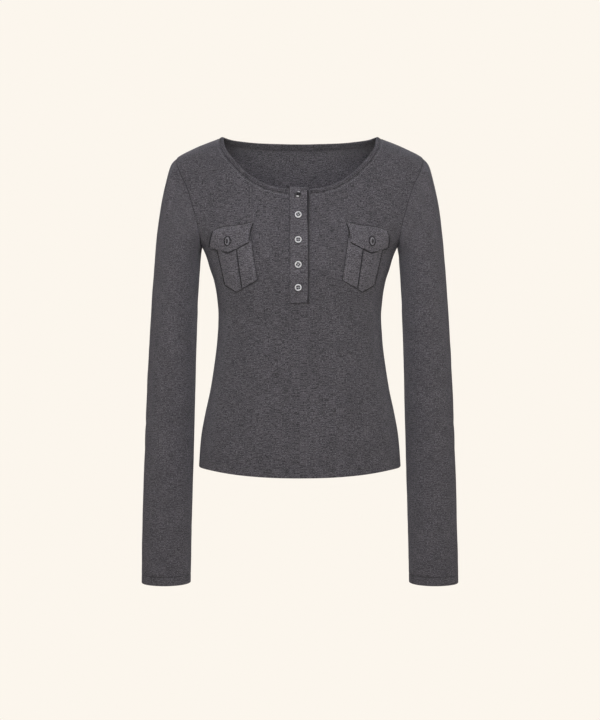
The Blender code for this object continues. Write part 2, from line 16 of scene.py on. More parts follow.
import bpy
import numpy as np
from mathutils import Euler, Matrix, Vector


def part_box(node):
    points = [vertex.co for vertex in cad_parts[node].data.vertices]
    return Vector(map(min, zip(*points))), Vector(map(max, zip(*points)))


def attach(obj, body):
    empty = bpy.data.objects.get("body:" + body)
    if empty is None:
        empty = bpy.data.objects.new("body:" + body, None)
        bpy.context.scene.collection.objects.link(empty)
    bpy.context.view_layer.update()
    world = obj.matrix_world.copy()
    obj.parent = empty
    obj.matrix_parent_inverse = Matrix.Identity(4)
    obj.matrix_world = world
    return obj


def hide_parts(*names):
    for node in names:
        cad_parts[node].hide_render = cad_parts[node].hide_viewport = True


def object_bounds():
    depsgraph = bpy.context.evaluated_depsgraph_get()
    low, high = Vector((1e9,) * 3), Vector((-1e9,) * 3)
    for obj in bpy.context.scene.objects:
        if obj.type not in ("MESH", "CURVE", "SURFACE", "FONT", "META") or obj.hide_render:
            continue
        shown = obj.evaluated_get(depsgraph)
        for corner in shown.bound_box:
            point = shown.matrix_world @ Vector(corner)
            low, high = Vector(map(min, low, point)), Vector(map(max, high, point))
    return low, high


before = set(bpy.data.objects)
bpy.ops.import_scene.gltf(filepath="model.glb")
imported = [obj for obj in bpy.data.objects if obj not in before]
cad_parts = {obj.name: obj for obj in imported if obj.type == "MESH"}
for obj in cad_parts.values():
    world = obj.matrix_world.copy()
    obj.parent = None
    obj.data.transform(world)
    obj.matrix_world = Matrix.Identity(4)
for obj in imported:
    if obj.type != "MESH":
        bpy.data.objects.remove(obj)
CAD_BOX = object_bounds()

LOG = logging.getLogger("top")
MM = 0.001
BODY_NAME = "root"
Array = np.ndarray
Object = bpy.types.Object
Material = bpy.types.Material

WALL = 1.2
SEAM_GAP = 0.3
ARMHOLE_GAP = 0.45
HEM_FOLD = 15.0
STITCH_LEVEL = 13.1  # of a hem's or cuff's stitching above its edge
CORNER_POWER = 2.2
SLOT_HALF = 12.5  # half the width of the slot in the front, which the placket covers
SLOT_BOTTOM = -231.0
CELL = 3.0  # side of a cell of the cloth grids
FINE = 500  # points of a line before it is divided at shares of its length
EDGE_LINES = (0.12, 0.4, 0.8)  # lines of a grid beside a piece's edge, for its rounding
HEM_LINES = (0.12, 0.45, 1.0, 1.8, 3.2, 5.5, 8.0, 10.4)  # the same above a hem or cuff
MIRROR = np.array([-1.0, 1.0, 1.0])


# ---- Curves and arrays ----


def through(stations: Array, values: Array, at: Array) -> Array:
    """Cubic curve through values at their stations, with no overshoot.

    Args:
        stations: where the values hold, in any order.
        values: one value for each station.
        at: places to read the curve at.

    Returns:
        The curve's values there.
    """
    order = np.argsort(stations)
    x = np.asarray(stations, float)[order]
    y = np.asarray(values, float)[order]
    step = np.diff(x)
    slope = np.diff(y) / step
    turn = slope[:-1] * slope[1:] > 0
    safe = np.where(turn, slope[:-1] + slope[1:], 1.0)
    inner = np.where(turn, 2 * slope[:-1] * slope[1:] / safe, 0.0)
    tangent = np.concatenate([slope[:1], inner, slope[-1:]])
    at = np.asarray(at, float)
    k = np.clip(np.searchsorted(x, at) - 1, 0, len(step) - 1)
    t = (at - x[k]) / step[k]
    eased = t * t * (3 - 2 * t)
    leave = tangent[k] * step[k] * t * (1 - t) ** 2
    arrive = tangent[k + 1] * step[k] * t * t * (1 - t)
    return y[k] + (y[k + 1] - y[k]) * eased + leave - arrive


def column(rows: tuple, name: str) -> Array:
    """One named column of a table."""
    return np.array([getattr(row, name) for row in rows])


def unit(vectors: Array) -> Array:
    """The vectors at length 1."""
    return vectors / np.maximum(np.linalg.norm(vectors, axis=-1, keepdims=True), 1e-12)


def bell(distance: Array, width: float) -> Array:
    """Bell curve, 1 at no distance and about a third at the width."""
    return np.exp(-((distance / width) ** 2))


def ease(share: Array) -> Array:
    """Smooth step from 0 to 1."""
    share = np.clip(share, 0, 1)
    return share * share * (3 - 2 * share)


def run(points: Array, axis: int = 0) -> Array:
    """Length run along a line, or along each line of a grid, from its start."""
    steps = np.linalg.norm(np.diff(points, axis=axis), axis=-1)
    return np.insert(np.cumsum(steps, axis=axis), 0, 0.0, axis=axis)


def carried(values: Array, length: Array, at: Array) -> Array:
    """Rows of values that hold at lengths along a line, read at other lengths."""
    return np.stack([np.interp(at, length, part) for part in values.T], axis=-1)


def along_line(points: Array, shares: Array) -> Array:
    """Positions in a line of points, counted from 0, at shares of its length."""
    length = run(points)
    return np.interp(np.asarray(shares) * length[-1], length, np.arange(len(length)))


def graded(length: float, step: float, near_start: tuple = (), near_end: tuple = ()) -> Array:
    """Shares from 0 to 1, evenly spaced, with more at given distances from either end.

    Args:
        length: of the line that is divided.
        step: about how far apart the even shares are.
        near_start: distances from the start for the added shares.
        near_end: distances from the end for the added shares.

    Returns:
        The shares in order. An even share next to an added one is left out.
    """
    even = np.linspace(0, 1, max(2, round(length / step)) + 1)
    added = np.array([*near_start, *(length - d for d in near_end)]) / length
    if len(added):
        close = np.abs(even[:, None] - added).min(axis=1) < 0.35 * step / length
        even = even[~close | (even == 0) | (even == 1)]
    return np.unique(np.concatenate([even, added]))


def between(count: int, like: Array) -> Array:
    """So many even shares from 0 to 1, on an axis of their own before the axes of an array."""
    return np.linspace(0, 1, count).reshape(-1, *[1] * np.ndim(like))


def circle(count: int) -> Array:
    """Angles of so many points spaced evenly round a circle."""
    return np.linspace(0, 2 * np.pi, count, endpoint=False)


def tube_ring(aside: Array, out: Array, sides: int) -> Array:
    """Directions round a tube at each point of its middle line, from the ways aside and out there."""
    turn = circle(sides)[:, None]
    return aside[:, None] * np.cos(turn) + out[:, None] * np.sin(turn)


def tube_walls(index: Array) -> Array:
    """Four-cornered faces between the rings of a tube, from its vertex numbers with a row for each ring.

    Args:
        index: the vertex numbers.

    Returns:
        Four vertex numbers for each face.
    """
    following = np.roll(index, -1, axis=-1)
    low, high = index[..., :-1, :], index[..., 1:, :]
    walls = np.stack([low, following[..., :-1, :], following[..., 1:, :], high], axis=-1)
    return walls.reshape(-1, 4)


def lattice(u: Array, v: Array, cell: float, seed: int) -> Array:
    """Soft uneven surface: random heights at the corners of square cells, eased between them.

    Args:
        u: first coordinate of each point.
        v: second coordinate of each point.
        cell: side of the square cells.
        seed: of the random heights.

    Returns:
        Heights from -1 to 1.
    """
    heights = np.random.default_rng(seed).uniform(-1, 1, (64, 64))
    a, b = u / cell + 32, v / cell + 32
    i, j = np.floor(a).astype(int), np.floor(b).astype(int)
    s, t = ease(a - i), ease(b - j)
    corner = [[heights[(i + p) % 64, (j + q) % 64] for q in (0, 1)] for p in (0, 1)]
    low = corner[0][0] * (1 - s) + corner[1][0] * s
    high = corner[0][1] * (1 - s) + corner[1][1] * s
    return low * (1 - t) + high * t


# ---- Tables of the form ----


class BodyRow(NamedTuple):
    """A level of the body: its half width, and its reach in front of and behind the shoulders."""

    z: float
    half_width: float
    front: float
    back: float


class SleeveRow(NamedTuple):
    """A sleeve ring from its inner to its outer point: how far back its middle lies, and half its depth."""

    outer_x: float
    outer_z: float
    inner_x: float
    inner_z: float
    middle_y: float
    half_depth: float


class EdgePoint(NamedTuple):
    """A point of a cut edge as seen from the front."""

    x: float
    z: float


class PocketLine(NamedTuple):
    """A line down a pocket piece, from its top edge to its bottom edge."""

    top_x: float
    top_z: float
    bottom_x: float
    bottom_z: float


class Fold(NamedTuple):
    """A soft trough or ridge in cloth, from one point to another.

    A point is how far round it lies from the middle of its piece, towards the wearer's left or the front,
    and its height. The fold bows sideways by bow at its middle. A negative depth is a trough.
    """

    start: tuple
    end: tuple
    bow: float
    width: float
    depth: float


class ButtonRing(NamedTuple):
    """A ring of a button: its radius, and its height over the back."""

    radius: float
    height: float


def rows_of(kind: type, *rows: tuple) -> tuple:
    """A table with named columns, from the kind of its rows and the rows."""
    return tuple(kind(*row) for row in rows)


BODY = rows_of(
    BodyRow,
    (4.0, 98.0, 40.0, 50.0),
    (0.0, 110.5, 43.0, 58.0),
    (-2.1, 116.5, 44.5, 62.0),
    (-8.0, 133.0, 48.0, 69.0),
    (-16.0, 152.3, 53.0, 75.0),
    (-31.0, 179.6, 60.0, 83.0),
    (-50.0, 193.0, 66.0, 90.0),
    (-76.0, 198.0, 73.0, 96.0),
    (-100.0, 195.0, 81.0, 100.0),
    (-120.0, 184.0, 89.0, 102.0),
    (-140.0, 163.0, 97.0, 102.0),
    (-150.0, 151.5, 101.0, 101.0),
    (-159.4, 142.8, 104.0, 100.0),
    (-174.0, 136.3, 106.0, 98.0),
    (-192.0, 131.0, 106.0, 95.0),
    (-209.0, 125.4, 103.4, 91.0),
    (-235.0, 121.0, 98.0, 84.0),
    (-262.0, 119.2, 92.8, 78.0),
    (-297.0, 121.3, 89.6, 77.0),
    (-333.0, 125.8, 89.2, 84.0),
    (-368.0, 131.4, 93.0, 93.0),
    (-404.0, 139.2, 98.0, 101.0),
    (-440.0, 145.5, 103.0, 106.0),
    (-483.0, 149.0, 107.0, 108.0),
    (-490.0, 149.4, 107.4, 108.2),
)

ARMHOLE = rows_of(
    EdgePoint,
    (142.8, -159.4), (143.0, -150.0), (145.4, -132.0), (149.8, -115.0), (156.5, -90.0),
    (162.6, -72.0), (170.2, -57.0), (176.8, -42.0), (179.6, -31.0),
)

FRONT_NECK = rows_of(
    EdgePoint,
    (12.5, -81.5), (27.0, -80.0), (44.0, -76.3), (60.0, -69.5), (77.0, -58.5),
    (92.0, -44.5), (105.5, -29.0), (114.0, -14.5), (116.5, -2.1),
)

BACK_NECK = rows_of(
    EdgePoint,
    (12.5, -13.6), (27.0, -13.3), (50.0, -12.3), (75.0, -10.4), (95.0, -7.6), (110.0, -4.6),
    (116.5, -2.1),
)

SLEEVE = rows_of(
    SleeveRow,
    (179.6, -31.0, 142.8, -159.4, 3.5, 54.5),
    (188.6, -43.5, 143.6, -163.0, 3.5, 53.5),
    (195.8, -69.2, 144.4, -168.0, 3.0, 53.5),
    (203.2, -104.0, 145.2, -176.0, 2.5, 52.5),
    (208.3, -140.0, 146.2, -190.0, 2.2, 50.5),
    (211.7, -174.0, 147.2, -206.0, 2.0, 48.3),
    (214.8, -209.0, 148.5, -226.0, 2.0, 46.0),
    (216.8, -235.5, 149.7, -244.3, 2.0, 44.0),
    (220.0, -281.0, 151.2, -283.0, 2.5, 40.5),
    (223.1, -332.7, 152.9, -333.0, 3.0, 38.0),
    (226.0, -386.0, 154.4, -386.0, 2.0, 36.0),
    (227.7, -430.5, 155.6, -430.5, -0.5, 34.5),
    (229.4, -475.0, 156.9, -475.0, -3.5, 33.0),
    (231.3, -533.4, 158.5, -533.4, -7.5, 31.0),
    (233.0, -592.0, 160.1, -592.0, -11.0, 29.2),
    (234.2, -654.4, 161.3, -653.9, -14.0, 28.0),
)

# From the edge nearest the placket to the edge nearest the side. Lines 2 and 4 are the folds of the pleat.
POCKET = rows_of(
    PocketLine,
    (70.6, -136.0, 60.4, -203.6),
    (93.2, -139.4, 82.8, -217.0),
    (100.6, -141.6, 89.6, -221.6),
    (108.8, -143.5, 97.8, -217.4),
    (121.0, -147.5, 106.9, -212.4),
)

FLAP = rows_of(
    PocketLine,
    (66.1, -121.6, 71.2, -149.3),
    (80.0, -125.4, 86.6, -157.9),
    (95.0, -127.2, 101.7, -165.7),
    (110.5, -129.8, 115.6, -162.5),
    (121.6, -133.4, 126.4, -159.8),
)

FRONT_FOLDS = rows_of(
    Fold,
    ((-76, -72), (-70, -124), -3, 9, -1.0),
    ((72, -74), (69, -124), 3, 9, -1.1),
    ((-92, -60), (-98, -112), 4, 16, 1.0),
    ((90, -62), (97, -110), -4, 15, 1.1),
    ((-176, -118), (-132, -104), 5, 6, -0.9),
    ((-170, -134), (-134, -126), 4, 5, -0.8),
    ((174, -116), (130, -106), 5, 6, -0.9),
    ((170, -136), (136, -124), 4, 6, -0.7),
    ((-178, -178), (-122, -228), -6, 8, -0.8),
    ((182, -182), (120, -236), 6, 9, -0.7),
    ((-176, -250), (-110, -262), 4, 7, -0.6),
    ((178, -256), (118, -270), -4, 8, -0.6),
    ((-180, -276), (-128, -268), 5, 7, 0.5),
    ((176, -284), (124, -274), 4, 6, 0.5),
    ((10, -372), (84, -398), -5, 7, -0.7),
    ((36, -392), (104, -420), -4, 6, -0.6),
    ((-118, -352), (-46, -388), 6, 9, -0.5),
    ((-150, -408), (-96, -470), 6, 14, 0.6),
    ((128, -398), (158, -466), -6, 14, 0.7),
    ((-40, -440), (-34, -482), 0, 12, 0.5),
    ((62, -446), (66, -482), 0, 14, -0.5),
    ((17.4, -96), (17.4, -228), -0.4, 2.4, -1.2),
    ((-67.0, -128), (-68.5, -154), 1, 3.0, -1.4),
    ((66.5, -128), (68.0, -153), -1, 3.0, -1.3),
    ((20, -250), (27, -310), 3, 10, -0.4),
    ((-34, -246), (-52, -318), 4, 12, 0.4),
)

BACK_FOLDS = rows_of(
    Fold,
    ((-160, -128), (-112, -92), 6, 8, -1.1),
    ((158, -130), (114, -90), -6, 8, -1.0),
    ((-172, -152), (-96, -172), 6, 8, -1.2),
    ((170, -150), (90, -176), 6, 9, -1.2),
    ((-176, -206), (-84, -232), -6, 8, -1.0),
    ((178, -210), (78, -228), -7, 8, -1.1),
    ((-150, -244), (30, -256), 5, 8, -1.5),
    ((140, -262), (-46, -274), -5, 8, -1.4),
    ((-128, -286), (-10, -296), 5, 8, -1.1),
    ((118, -300), (24, -312), -4, 9, -0.8),
    ((-30, -262), (44, -264), 3, 7, 1.0),
    ((-60, -70), (-70, -150), 6, 18, 1.0),
    ((62, -72), (72, -148), -6, 18, 0.9),
    ((-4, -40), (2, -120), 3, 16, -0.8),
    ((-146, -360), (-92, -430), 8, 14, -0.7),
    ((138, -352), (96, -436), -8, 14, -0.8),
    ((-50, -420), (-56, -482), 3, 14, 0.7),
    ((34, -428), (30, -482), -3, 13, -0.7),
)

# Round a sleeve, 0 is its outer line and the front is positive.
SLEEVE_FOLDS = rows_of(
    Fold,
    ((28, -42), (37, -116), 4, 6, 2.6),
    ((44, -54), (52, -112), 3, 7, -1.9),
    ((-30, -50), (-56, -92), -4, 8, -1.1),
    ((88, -196), (34, -214), -5, 6, -0.9),
    ((96, -226), (30, -240), 5, 6, -0.8),
    ((96, -300), (40, -286), 5, 5, -0.9),
    ((98, -318), (52, -312), -4, 5, -0.8),
    ((86, -352), (40, -362), 4, 6, -0.8),
    ((70, -398), (4, -418), -5, 5, -1.0),
    ((76, -414), (20, -436), 4, 5, -0.8),
    ((48, -448), (-6, -460), -4, 7, -0.6),
    ((-96, -296), (-28, -316), 5, 6, -1.1),
    ((-98, -328), (-20, -340), -5, 6, -1.2),
    ((-92, -352), (-34, -374), 4, 6, -1.0),
    ((-88, -386), (-30, -398), -4, 7, -0.8),
    ((-86, -214), (-40, -226), 4, 7, -0.8),
    ((14, -500), (26, -600), 4, 12, 0.5),
    ((52, -520), (46, -610), 3, 10, -0.5),
    ((-36, -490), (-30, -600), 4, 12, -0.6),
    ((-70, -590), (-12, -606), 3, 7, -0.6),
    ((66, -612), (16, -622), 3, 6, -0.5),
)

HEM_Z = BODY[-2].z
UNDERARM = ARMHOLE[0]
SHOULDER_POINT = ARMHOLE[-1]


# ---- Surfaces ----


class Face(Enum):
    """Which side of the body a panel covers."""

    FRONT = "front"
    BACK = "back"


class Grid(NamedTuple):
    """A grid of outer points of cloth: places, outward directions, and where each lies in the flat cloth.

    Seen from outside, rows go up and columns go to the right. across and up are lengths in the flat cloth.
    """

    points: Array
    normals: Array
    across: Array
    up: Array


def relief(folds: tuple, round_it: Array, height: Array) -> Array:
    """Height of a set of folds over the plain surface.

    Each fold is a bell-shaped bank along a bowed line, which dies away towards both its ends.

    Args:
        folds: troughs and ridges.
        round_it: how far round the piece each point lies.
        height: height of each point.

    Returns:
        How far each point moves out.
    """
    total = np.zeros(np.shape(round_it))
    for fold in folds:
        start, chord = np.array(fold.start), np.subtract(fold.end, fold.start)
        length = math.hypot(*chord)
        way = chord / length
        a, b = round_it - start[0], height - start[1]
        share = (a * way[0] + b * way[1]) / length
        held = np.clip(share, -0.3, 1.3)
        aside = a * -way[1] + b * way[0] - fold.bow * 4 * held * (1 - held)
        fade = ease((share + 0.25) / 0.5) * ease((1.25 - share) / 0.5)
        total += fold.depth * bell(aside, fold.width) * fade
    return total


class Figure:
    """The surface that the body cloth follows: level rings, a little squarer than ellipses."""

    POINTS_ROUND = 25
    POINTS_UP = 49

    def half_width(self, z: Array) -> Array:
        """Half width of the ring at a height."""
        return through(column(BODY, "z"), column(BODY, "half_width"), z)

    def reach(self, z: Array, face: Face) -> Array:
        """How far the ring reaches to the front or back at a height."""
        return through(column(BODY, "z"), column(BODY, face.value), z)

    def point(self, angle: Array, z: Array) -> Array:
        """Place on the surface. A negative angle is the wearer's right.

        Args:
            angle: round the body from the centre front.
            z: height.

        Returns:
            Places: the half width and the reach, times powers of the sine and cosine of the angle.
        """
        angle, z = np.broadcast_arrays(np.asarray(angle, float), np.asarray(z, float))
        power = 2 / CORNER_POWER
        across = np.sign(np.sin(angle)) * np.abs(np.sin(angle)) ** power
        deep = np.abs(np.cos(angle)) ** power
        depth = np.where(np.cos(angle) >= 0, -self.reach(z, Face.FRONT), self.reach(z, Face.BACK))
        return np.stack([self.half_width(z) * across, depth * deep, z], axis=-1)

    def normal(self, angle: Array, z: Array) -> Array:
        """Outward direction: the cross product of the ways round and up.

        Args:
            angle: round the body from the centre front.
            z: height.

        Returns:
            The directions.
        """
        turn, rise = 0.01, 0.5
        way_round = self.point(angle + turn, z) - self.point(angle - turn, z)
        way_up = self.point(angle, z + rise) - self.point(angle, z - rise)
        return unit(np.cross(way_round, way_up))

    def offset_at(self, x: Array, z: Array) -> Array:
        """Angle from the centre front or back at which a ring is x wide."""
        share = np.clip(np.abs(x) / self.half_width(z), 0, 1)
        return np.sign(x) * np.arcsin(share ** (CORNER_POWER / 2))

    def across(self, angle: Array, z: Array, middle: float) -> Array:
        """Length round the ring from an angle called middle, as a sum of short chords."""
        chords = self.point(middle + (angle - middle) * between(self.POINTS_ROUND, angle), z)
        return np.sign(angle - middle) * run(chords)[-1]

    def up(self, angle: Array, z: Array) -> Array:
        """Length up the body from the hem at one angle, as a sum of short chords."""
        return run(self.point(angle, HEM_Z + (z - HEM_Z) * between(self.POINTS_UP, angle)))[-1]


@dataclass
class BodyCloth:
    """The worn body cloth: the figure's surface with its folds, for the panels and what is sewn onto them."""

    figure: Figure

    @staticmethod
    def hang(angle: Array, z: Array) -> Array:
        """Height at which cloth cut at a level hangs, near the hem.

        The hem rises from the centres towards the sides, by the square of the sine of the angle, and drops
        again right beside the side seams, by its twelfth power. The rise fades out above the hem.

        Args:
            angle: round the body from the centre front.
            z: height at which the cloth is cut.

        Returns:
            The heights.
        """
        side = np.sin(angle) ** 2
        rise = np.where(np.cos(angle) > 0, 6.6 * side - 1.8, 5.6 * side - 0.8) - 3.6 * side**6
        return z + rise * ease((-410.0 - z) / 60.0)

    def lay(self, angle: Array, z: Array, lift: Array = 0.0) -> Grid:
        """Grid on the cloth, lifted off it.

        Args:
            angle: round the body from the centre front, from -90 degrees to 270.
            z: height.
            lift: how far off the cloth's outer face.

        Returns:
            Places with their outward directions and lengths in the flat cloth.
        """
        z = self.hang(angle, z)
        at_back = np.cos(angle) < 0
        middle = np.where(at_back, math.pi, 0.0)
        across = self.figure.across(angle, z, middle)
        up = self.figure.up(angle, z)
        left = np.where(at_back, -across, across)
        out = np.where(at_back, relief(BACK_FOLDS, left, z), relief(FRONT_FOLDS, left, z))
        out = out + 0.35 * lattice(left, up, 34.0, 5) + 0.16 * lattice(left, up, 13.0, 6)
        # The folds of one side fade into those of the other at the side seams.
        side = np.abs(np.cos(angle)) ** 0.35
        normals = self.figure.normal(angle, z)
        points = self.figure.point(angle, z) + normals * (out * side + lift)[..., None]
        return Grid(points, normals, across, up)

    def on_front(self, x: Array, z: Array, lift: Array = 0.0) -> Grid:
        """Grid on the front, from places as seen from the front, lifted off the cloth.

        Args:
            x: of each point.
            z: of each point.
            lift: how far off the cloth's outer face.

        Returns:
            The grid.
        """
        out = self.figure.normal(self.figure.offset_at(x, z), z)
        # The base point moves back along the outward direction, so that the lifted point stays at x and z.
        x, z = x - out[..., 0] * lift, z - out[..., 2] * lift
        return self.lay(self.figure.offset_at(x, z), z, lift)


def edge_distance(points: Array) -> Array:
    """How far each point of a grid lies from the nearest edge of the grid, measured along its lines.

    Args:
        points: of the grid.

    Returns:
        The distances.
    """
    by_row, by_column = run(points, 1), run(points, 0)
    sides = np.minimum(by_row, by_row[:, -1:] - by_row)
    ends = np.minimum(by_column, by_column[-1:] - by_column)
    return np.minimum(sides, ends)


def hem_wall(height: Array) -> Array:
    """Thickness of the wall at a height above a hem or cuff: double where the cloth is turned up."""
    return WALL * (1 + ease(HEM_FOLD + 0.6 - height))


def rounding(distance: Array, radius: float) -> Array:
    """How far a rounded edge lies below the flat, a quarter circle, at a distance from the edge."""
    short = np.clip(radius - distance, 0, 0.94 * radius)
    return radius - np.sqrt(radius**2 - short**2)


# ---- Meshes ----


class Workroom:
    """Turns arrays into pieces that ride on the frame."""

    @staticmethod
    def item(name: str, vertices: Array, faces: list) -> Object:
        """Object from vertices in millimetres and the vertex numbers of its faces, shaded smooth.

        Args:
            name: of the object.
            vertices: their places.
            faces: vertex numbers of each face.

        Returns:
            The object.
        """
        mesh = bpy.data.meshes.new(name)
        mesh.from_pydata((vertices * MM).tolist(), [], faces)
        mesh.shade_smooth()
        made = bpy.data.objects.new(name, mesh)
        bpy.context.scene.collection.objects.link(made)
        return made

    @staticmethod
    def chart(piece: Object, name: str, corners: Array) -> None:
        """Give a piece a UV map, from the place in it of each corner of each face."""
        layer = piece.data.uv_layers.new(name=name)
        layer.data.foreach_set("uv", corners.astype(np.float32).ravel())

    @staticmethod
    def shell(
        name: str,
        grid: Grid,
        thickness: Array,
        materials: tuple,
        node: str | None = None,
        inset: Array | None = None,
        cells: Array | None = None,
        closed: bool = False,
    ) -> Object:
        """Closed wall of cloth: its outer face, its inner face a thickness behind, and a rim between them.

        Args:
            name: of the piece.
            grid: outer face.
            thickness: of the wall at each point.
            materials: of its outer face and its reverse.
            node: the solid that it stands for.
            inset: how far both faces draw in towards the wall's middle at each point, for rounded edges.
            cells: which cells of the grid hold cloth.
            closed: whether the last column joins the first.

        Returns:
            The object.
        """
        rows, columns = grid.points.shape[:2]
        inset = np.zeros((rows, columns)) if inset is None else inset
        thickness = np.broadcast_to(thickness, (rows, columns))
        outer = grid.points - grid.normals * inset[..., None]
        inner = grid.points - grid.normals * (thickness - inset)[..., None]
        index = np.arange(rows * columns).reshape(rows, columns)
        wrapped = np.concatenate([index, index[:, :1]], axis=1) if closed else index
        step = np.linalg.norm(grid.points[:, 0] - grid.points[:, -1], axis=-1)[:, None]
        last = grid.across[:, -1:] + step
        across = np.concatenate([grid.across, last], axis=1) if closed else grid.across
        up = np.concatenate([grid.up, grid.up[:, :1]], axis=1) if closed else grid.up
        flat = np.stack([across, up], axis=-1) * MM

        def corners(of: Array) -> Array:
            """What the four corners of each cell of the cloth have in a grid."""
            found = np.stack([of[:-1, :-1], of[:-1, 1:], of[1:, 1:], of[1:, :-1]], axis=2)
            return found[cells] if cells is not None else found.reshape(-1, 4, *of.shape[2:])

        quads, uv = corners(wrapped), corners(flat)
        count = rows * columns
        start, end = quads.ravel(), np.roll(quads, -1, axis=1).ravel()
        forward, backward = start * count + end, end * count + start
        open_edge = ~np.isin(forward, backward)
        a, b = start[open_edge], end[open_edge]
        rim = np.stack([b, a, a + count, b + count], axis=1)
        uv_start = uv.reshape(-1, 2)[open_edge]
        uv_end = np.roll(uv, -1, axis=1).reshape(-1, 2)[open_edge]
        rim_uv = np.stack([uv_end, uv_start, uv_start, uv_end], axis=1)
        faces = np.concatenate([quads, quads[:, ::-1] + count, rim])
        places = np.concatenate([outer.reshape(-1, 3), inner.reshape(-1, 3)])
        used, renumbered = np.unique(faces, return_inverse=True)
        piece = Workroom.item(name, places[used], renumbered.reshape(faces.shape).tolist())
        Workroom.chart(piece, "cloth", np.concatenate([uv, uv[:, ::-1], rim_uv]))
        side = np.repeat([0, 1, 0], [len(quads), len(quads), len(rim)])
        piece.data.polygons.foreach_set("material_index", side)
        Workroom.sew_in(piece, "jersey", materials, node)
        return piece

    @staticmethod
    def sew_in(piece: Object, slot: str, materials: tuple, node: str | None = None) -> None:
        """Dress a piece in its materials, seat it on the body, and let it stand for its solid, if any.

        Args:
            piece: to be dressed.
            slot: that its look belongs to.
            materials: of its outer face and its reverse, or one for all of it.
            node: the solid that it stands for.
        """
        for material in materials:
            piece.data.materials.append(material)
        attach(piece, BODY_NAME)
        if node:
            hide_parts(node)
        triangles = sum(len(face.vertices) - 2 for face in piece.data.polygons)
        LOG.info("%s: %d triangles", piece.name, triangles)


# ---- Shader nodes ----


class Wire:
    """A node's output, or a number, on which Python's operators add Math nodes."""

    def __init__(self, tree: "Tree", value: object) -> None:
        """Hold an output of a node of the tree, or a number."""
        self.tree = tree
        self.value = value

    def math(self, operation: str, *others: object) -> "Wire":
        """Result of a Math node on this value and others."""
        inputs = dict(enumerate([self, *others]))
        return self.tree.add("ShaderNodeMath", {"operation": operation}, inputs)

    def __add__(self, other: object) -> "Wire":
        """Sum."""
        return self.math("ADD", other)

    def __mul__(self, other: object) -> "Wire":
        """Product."""
        return self.math("MULTIPLY", other)

    def __sub__(self, other: object) -> "Wire":
        """Difference."""
        return self.math("SUBTRACT", other)

    def __rsub__(self, other: object) -> "Wire":
        """Difference from a number."""
        return Wire(self.tree, other).math("SUBTRACT", self)

    __radd__, __rmul__ = __add__, __mul__


class Tree:
    """Node tree of a material with one Principled shader."""

    def __init__(self, name: str) -> None:
        """Start a material of this name.

        Args:
            name: of the material.
        """
        self.material = bpy.data.materials.new(name)
        self.material.use_nodes = True
        self.tree = self.material.node_tree
        self.shader = self.tree.nodes["Principled BSDF"]

    def add(self, kind: str, settings: dict, inputs: dict, output: object = 0) -> Wire:
        """Add a node.

        Args:
            kind: its type.
            settings: its own properties, set before its sockets.
            inputs: value or wire for each socket, by name or number.
            output: name or number of the socket to return.

        Returns:
            That output.
        """
        node = self.tree.nodes.new(kind)
        for name, value in settings.items():
            setattr(node, name, value)
        for name, value in inputs.items():
            self.plug(node.inputs[name], value)
        return Wire(self, node.outputs[output])

    def plug(self, socket: bpy.types.NodeSocket, value: object) -> None:
        """Link a wire to a socket, or set the socket to a value.

        Args:
            socket: of a node.
            value: a wire, or what the socket is set to.
        """
        raw = value.value if isinstance(value, Wire) else value
        if isinstance(raw, bpy.types.NodeSocket):
            self.tree.links.new(raw, socket)
        else:
            socket.default_value = raw

    def blend(self, share: object, first: object, second: object) -> Wire:
        """Mix of two colours."""
        settings = {"data_type": "RGBA", "clamp_factor": True}
        return self.add("ShaderNodeMix", settings, {0: share, 6: first, 7: second}, 2)

    def ramp(self, value: Wire, low: float, high: float) -> Wire:
        """Smooth step of a value from 0 at low to 1 at high."""
        settings = {"interpolation_type": "SMOOTHSTEP"}
        return self.add("ShaderNodeMapRange", settings, {0: value, 1: low, 2: high})

    def noise(self, place: Wire, stretch: tuple, detail: float = 2.0, rough: float = 0.5) -> Wire:
        """Noise with so many features to the metre across and up.

        Args:
            place: where it is read.
            stretch: how many features to the metre across and up.
            detail: how many finer layers it has.
            rough: how strong they are.

        Returns:
            The noise, from 0 to 1.
        """
        scaled = self.add("ShaderNodeMapping", {}, {"Vector": place, "Scale": (*stretch, 1.0)})
        settings = {"noise_dimensions": "2D"}
        inputs = {"Vector": scaled, "Scale": 1.0, "Detail": detail, "Roughness": rough}
        return self.add("ShaderNodeTexNoise", settings, inputs)

    def parts(self, vector: Wire) -> tuple[Wire, Wire]:
        """First and second part of a vector."""
        first = self.add("ShaderNodeSeparateXYZ", {}, {0: vector})
        return first, Wire(self, first.value.node.outputs[1])

    def chart(self, name: str) -> Wire:
        """Place in one of the piece's UV maps."""
        return self.add("ShaderNodeUVMap", {"uv_map": name}, {})

    def speckle(self, scale: float, detail: float, rough: float = 0.5) -> Wire:
        """Noise in the piece's own space, with so many features to the metre.

        Args:
            scale: how many features to the metre.
            detail: how many finer layers it has.
            rough: how strong they are.

        Returns:
            The noise, from 0 to 1.
        """
        place = self.add("ShaderNodeTexCoord", {}, {}, "Object")
        inputs = {"Vector": place, "Scale": scale, "Detail": detail, "Roughness": rough}
        return self.add("ShaderNodeTexNoise", {}, inputs)

    def bump(self, height: Wire, strength: float, distance: float) -> Wire:
        """Surface direction, tilted by the slope of a height."""
        inputs = {"Height": height, "Strength": strength, "Distance": distance}
        return self.add("ShaderNodeBump", {}, inputs)

    def set(self, **values: object) -> None:
        """Set or link sockets of the shader, their names written with underscores."""
        for name, value in values.items():
            self.plug(self.shader.inputs[name.replace("_", " ")], value)


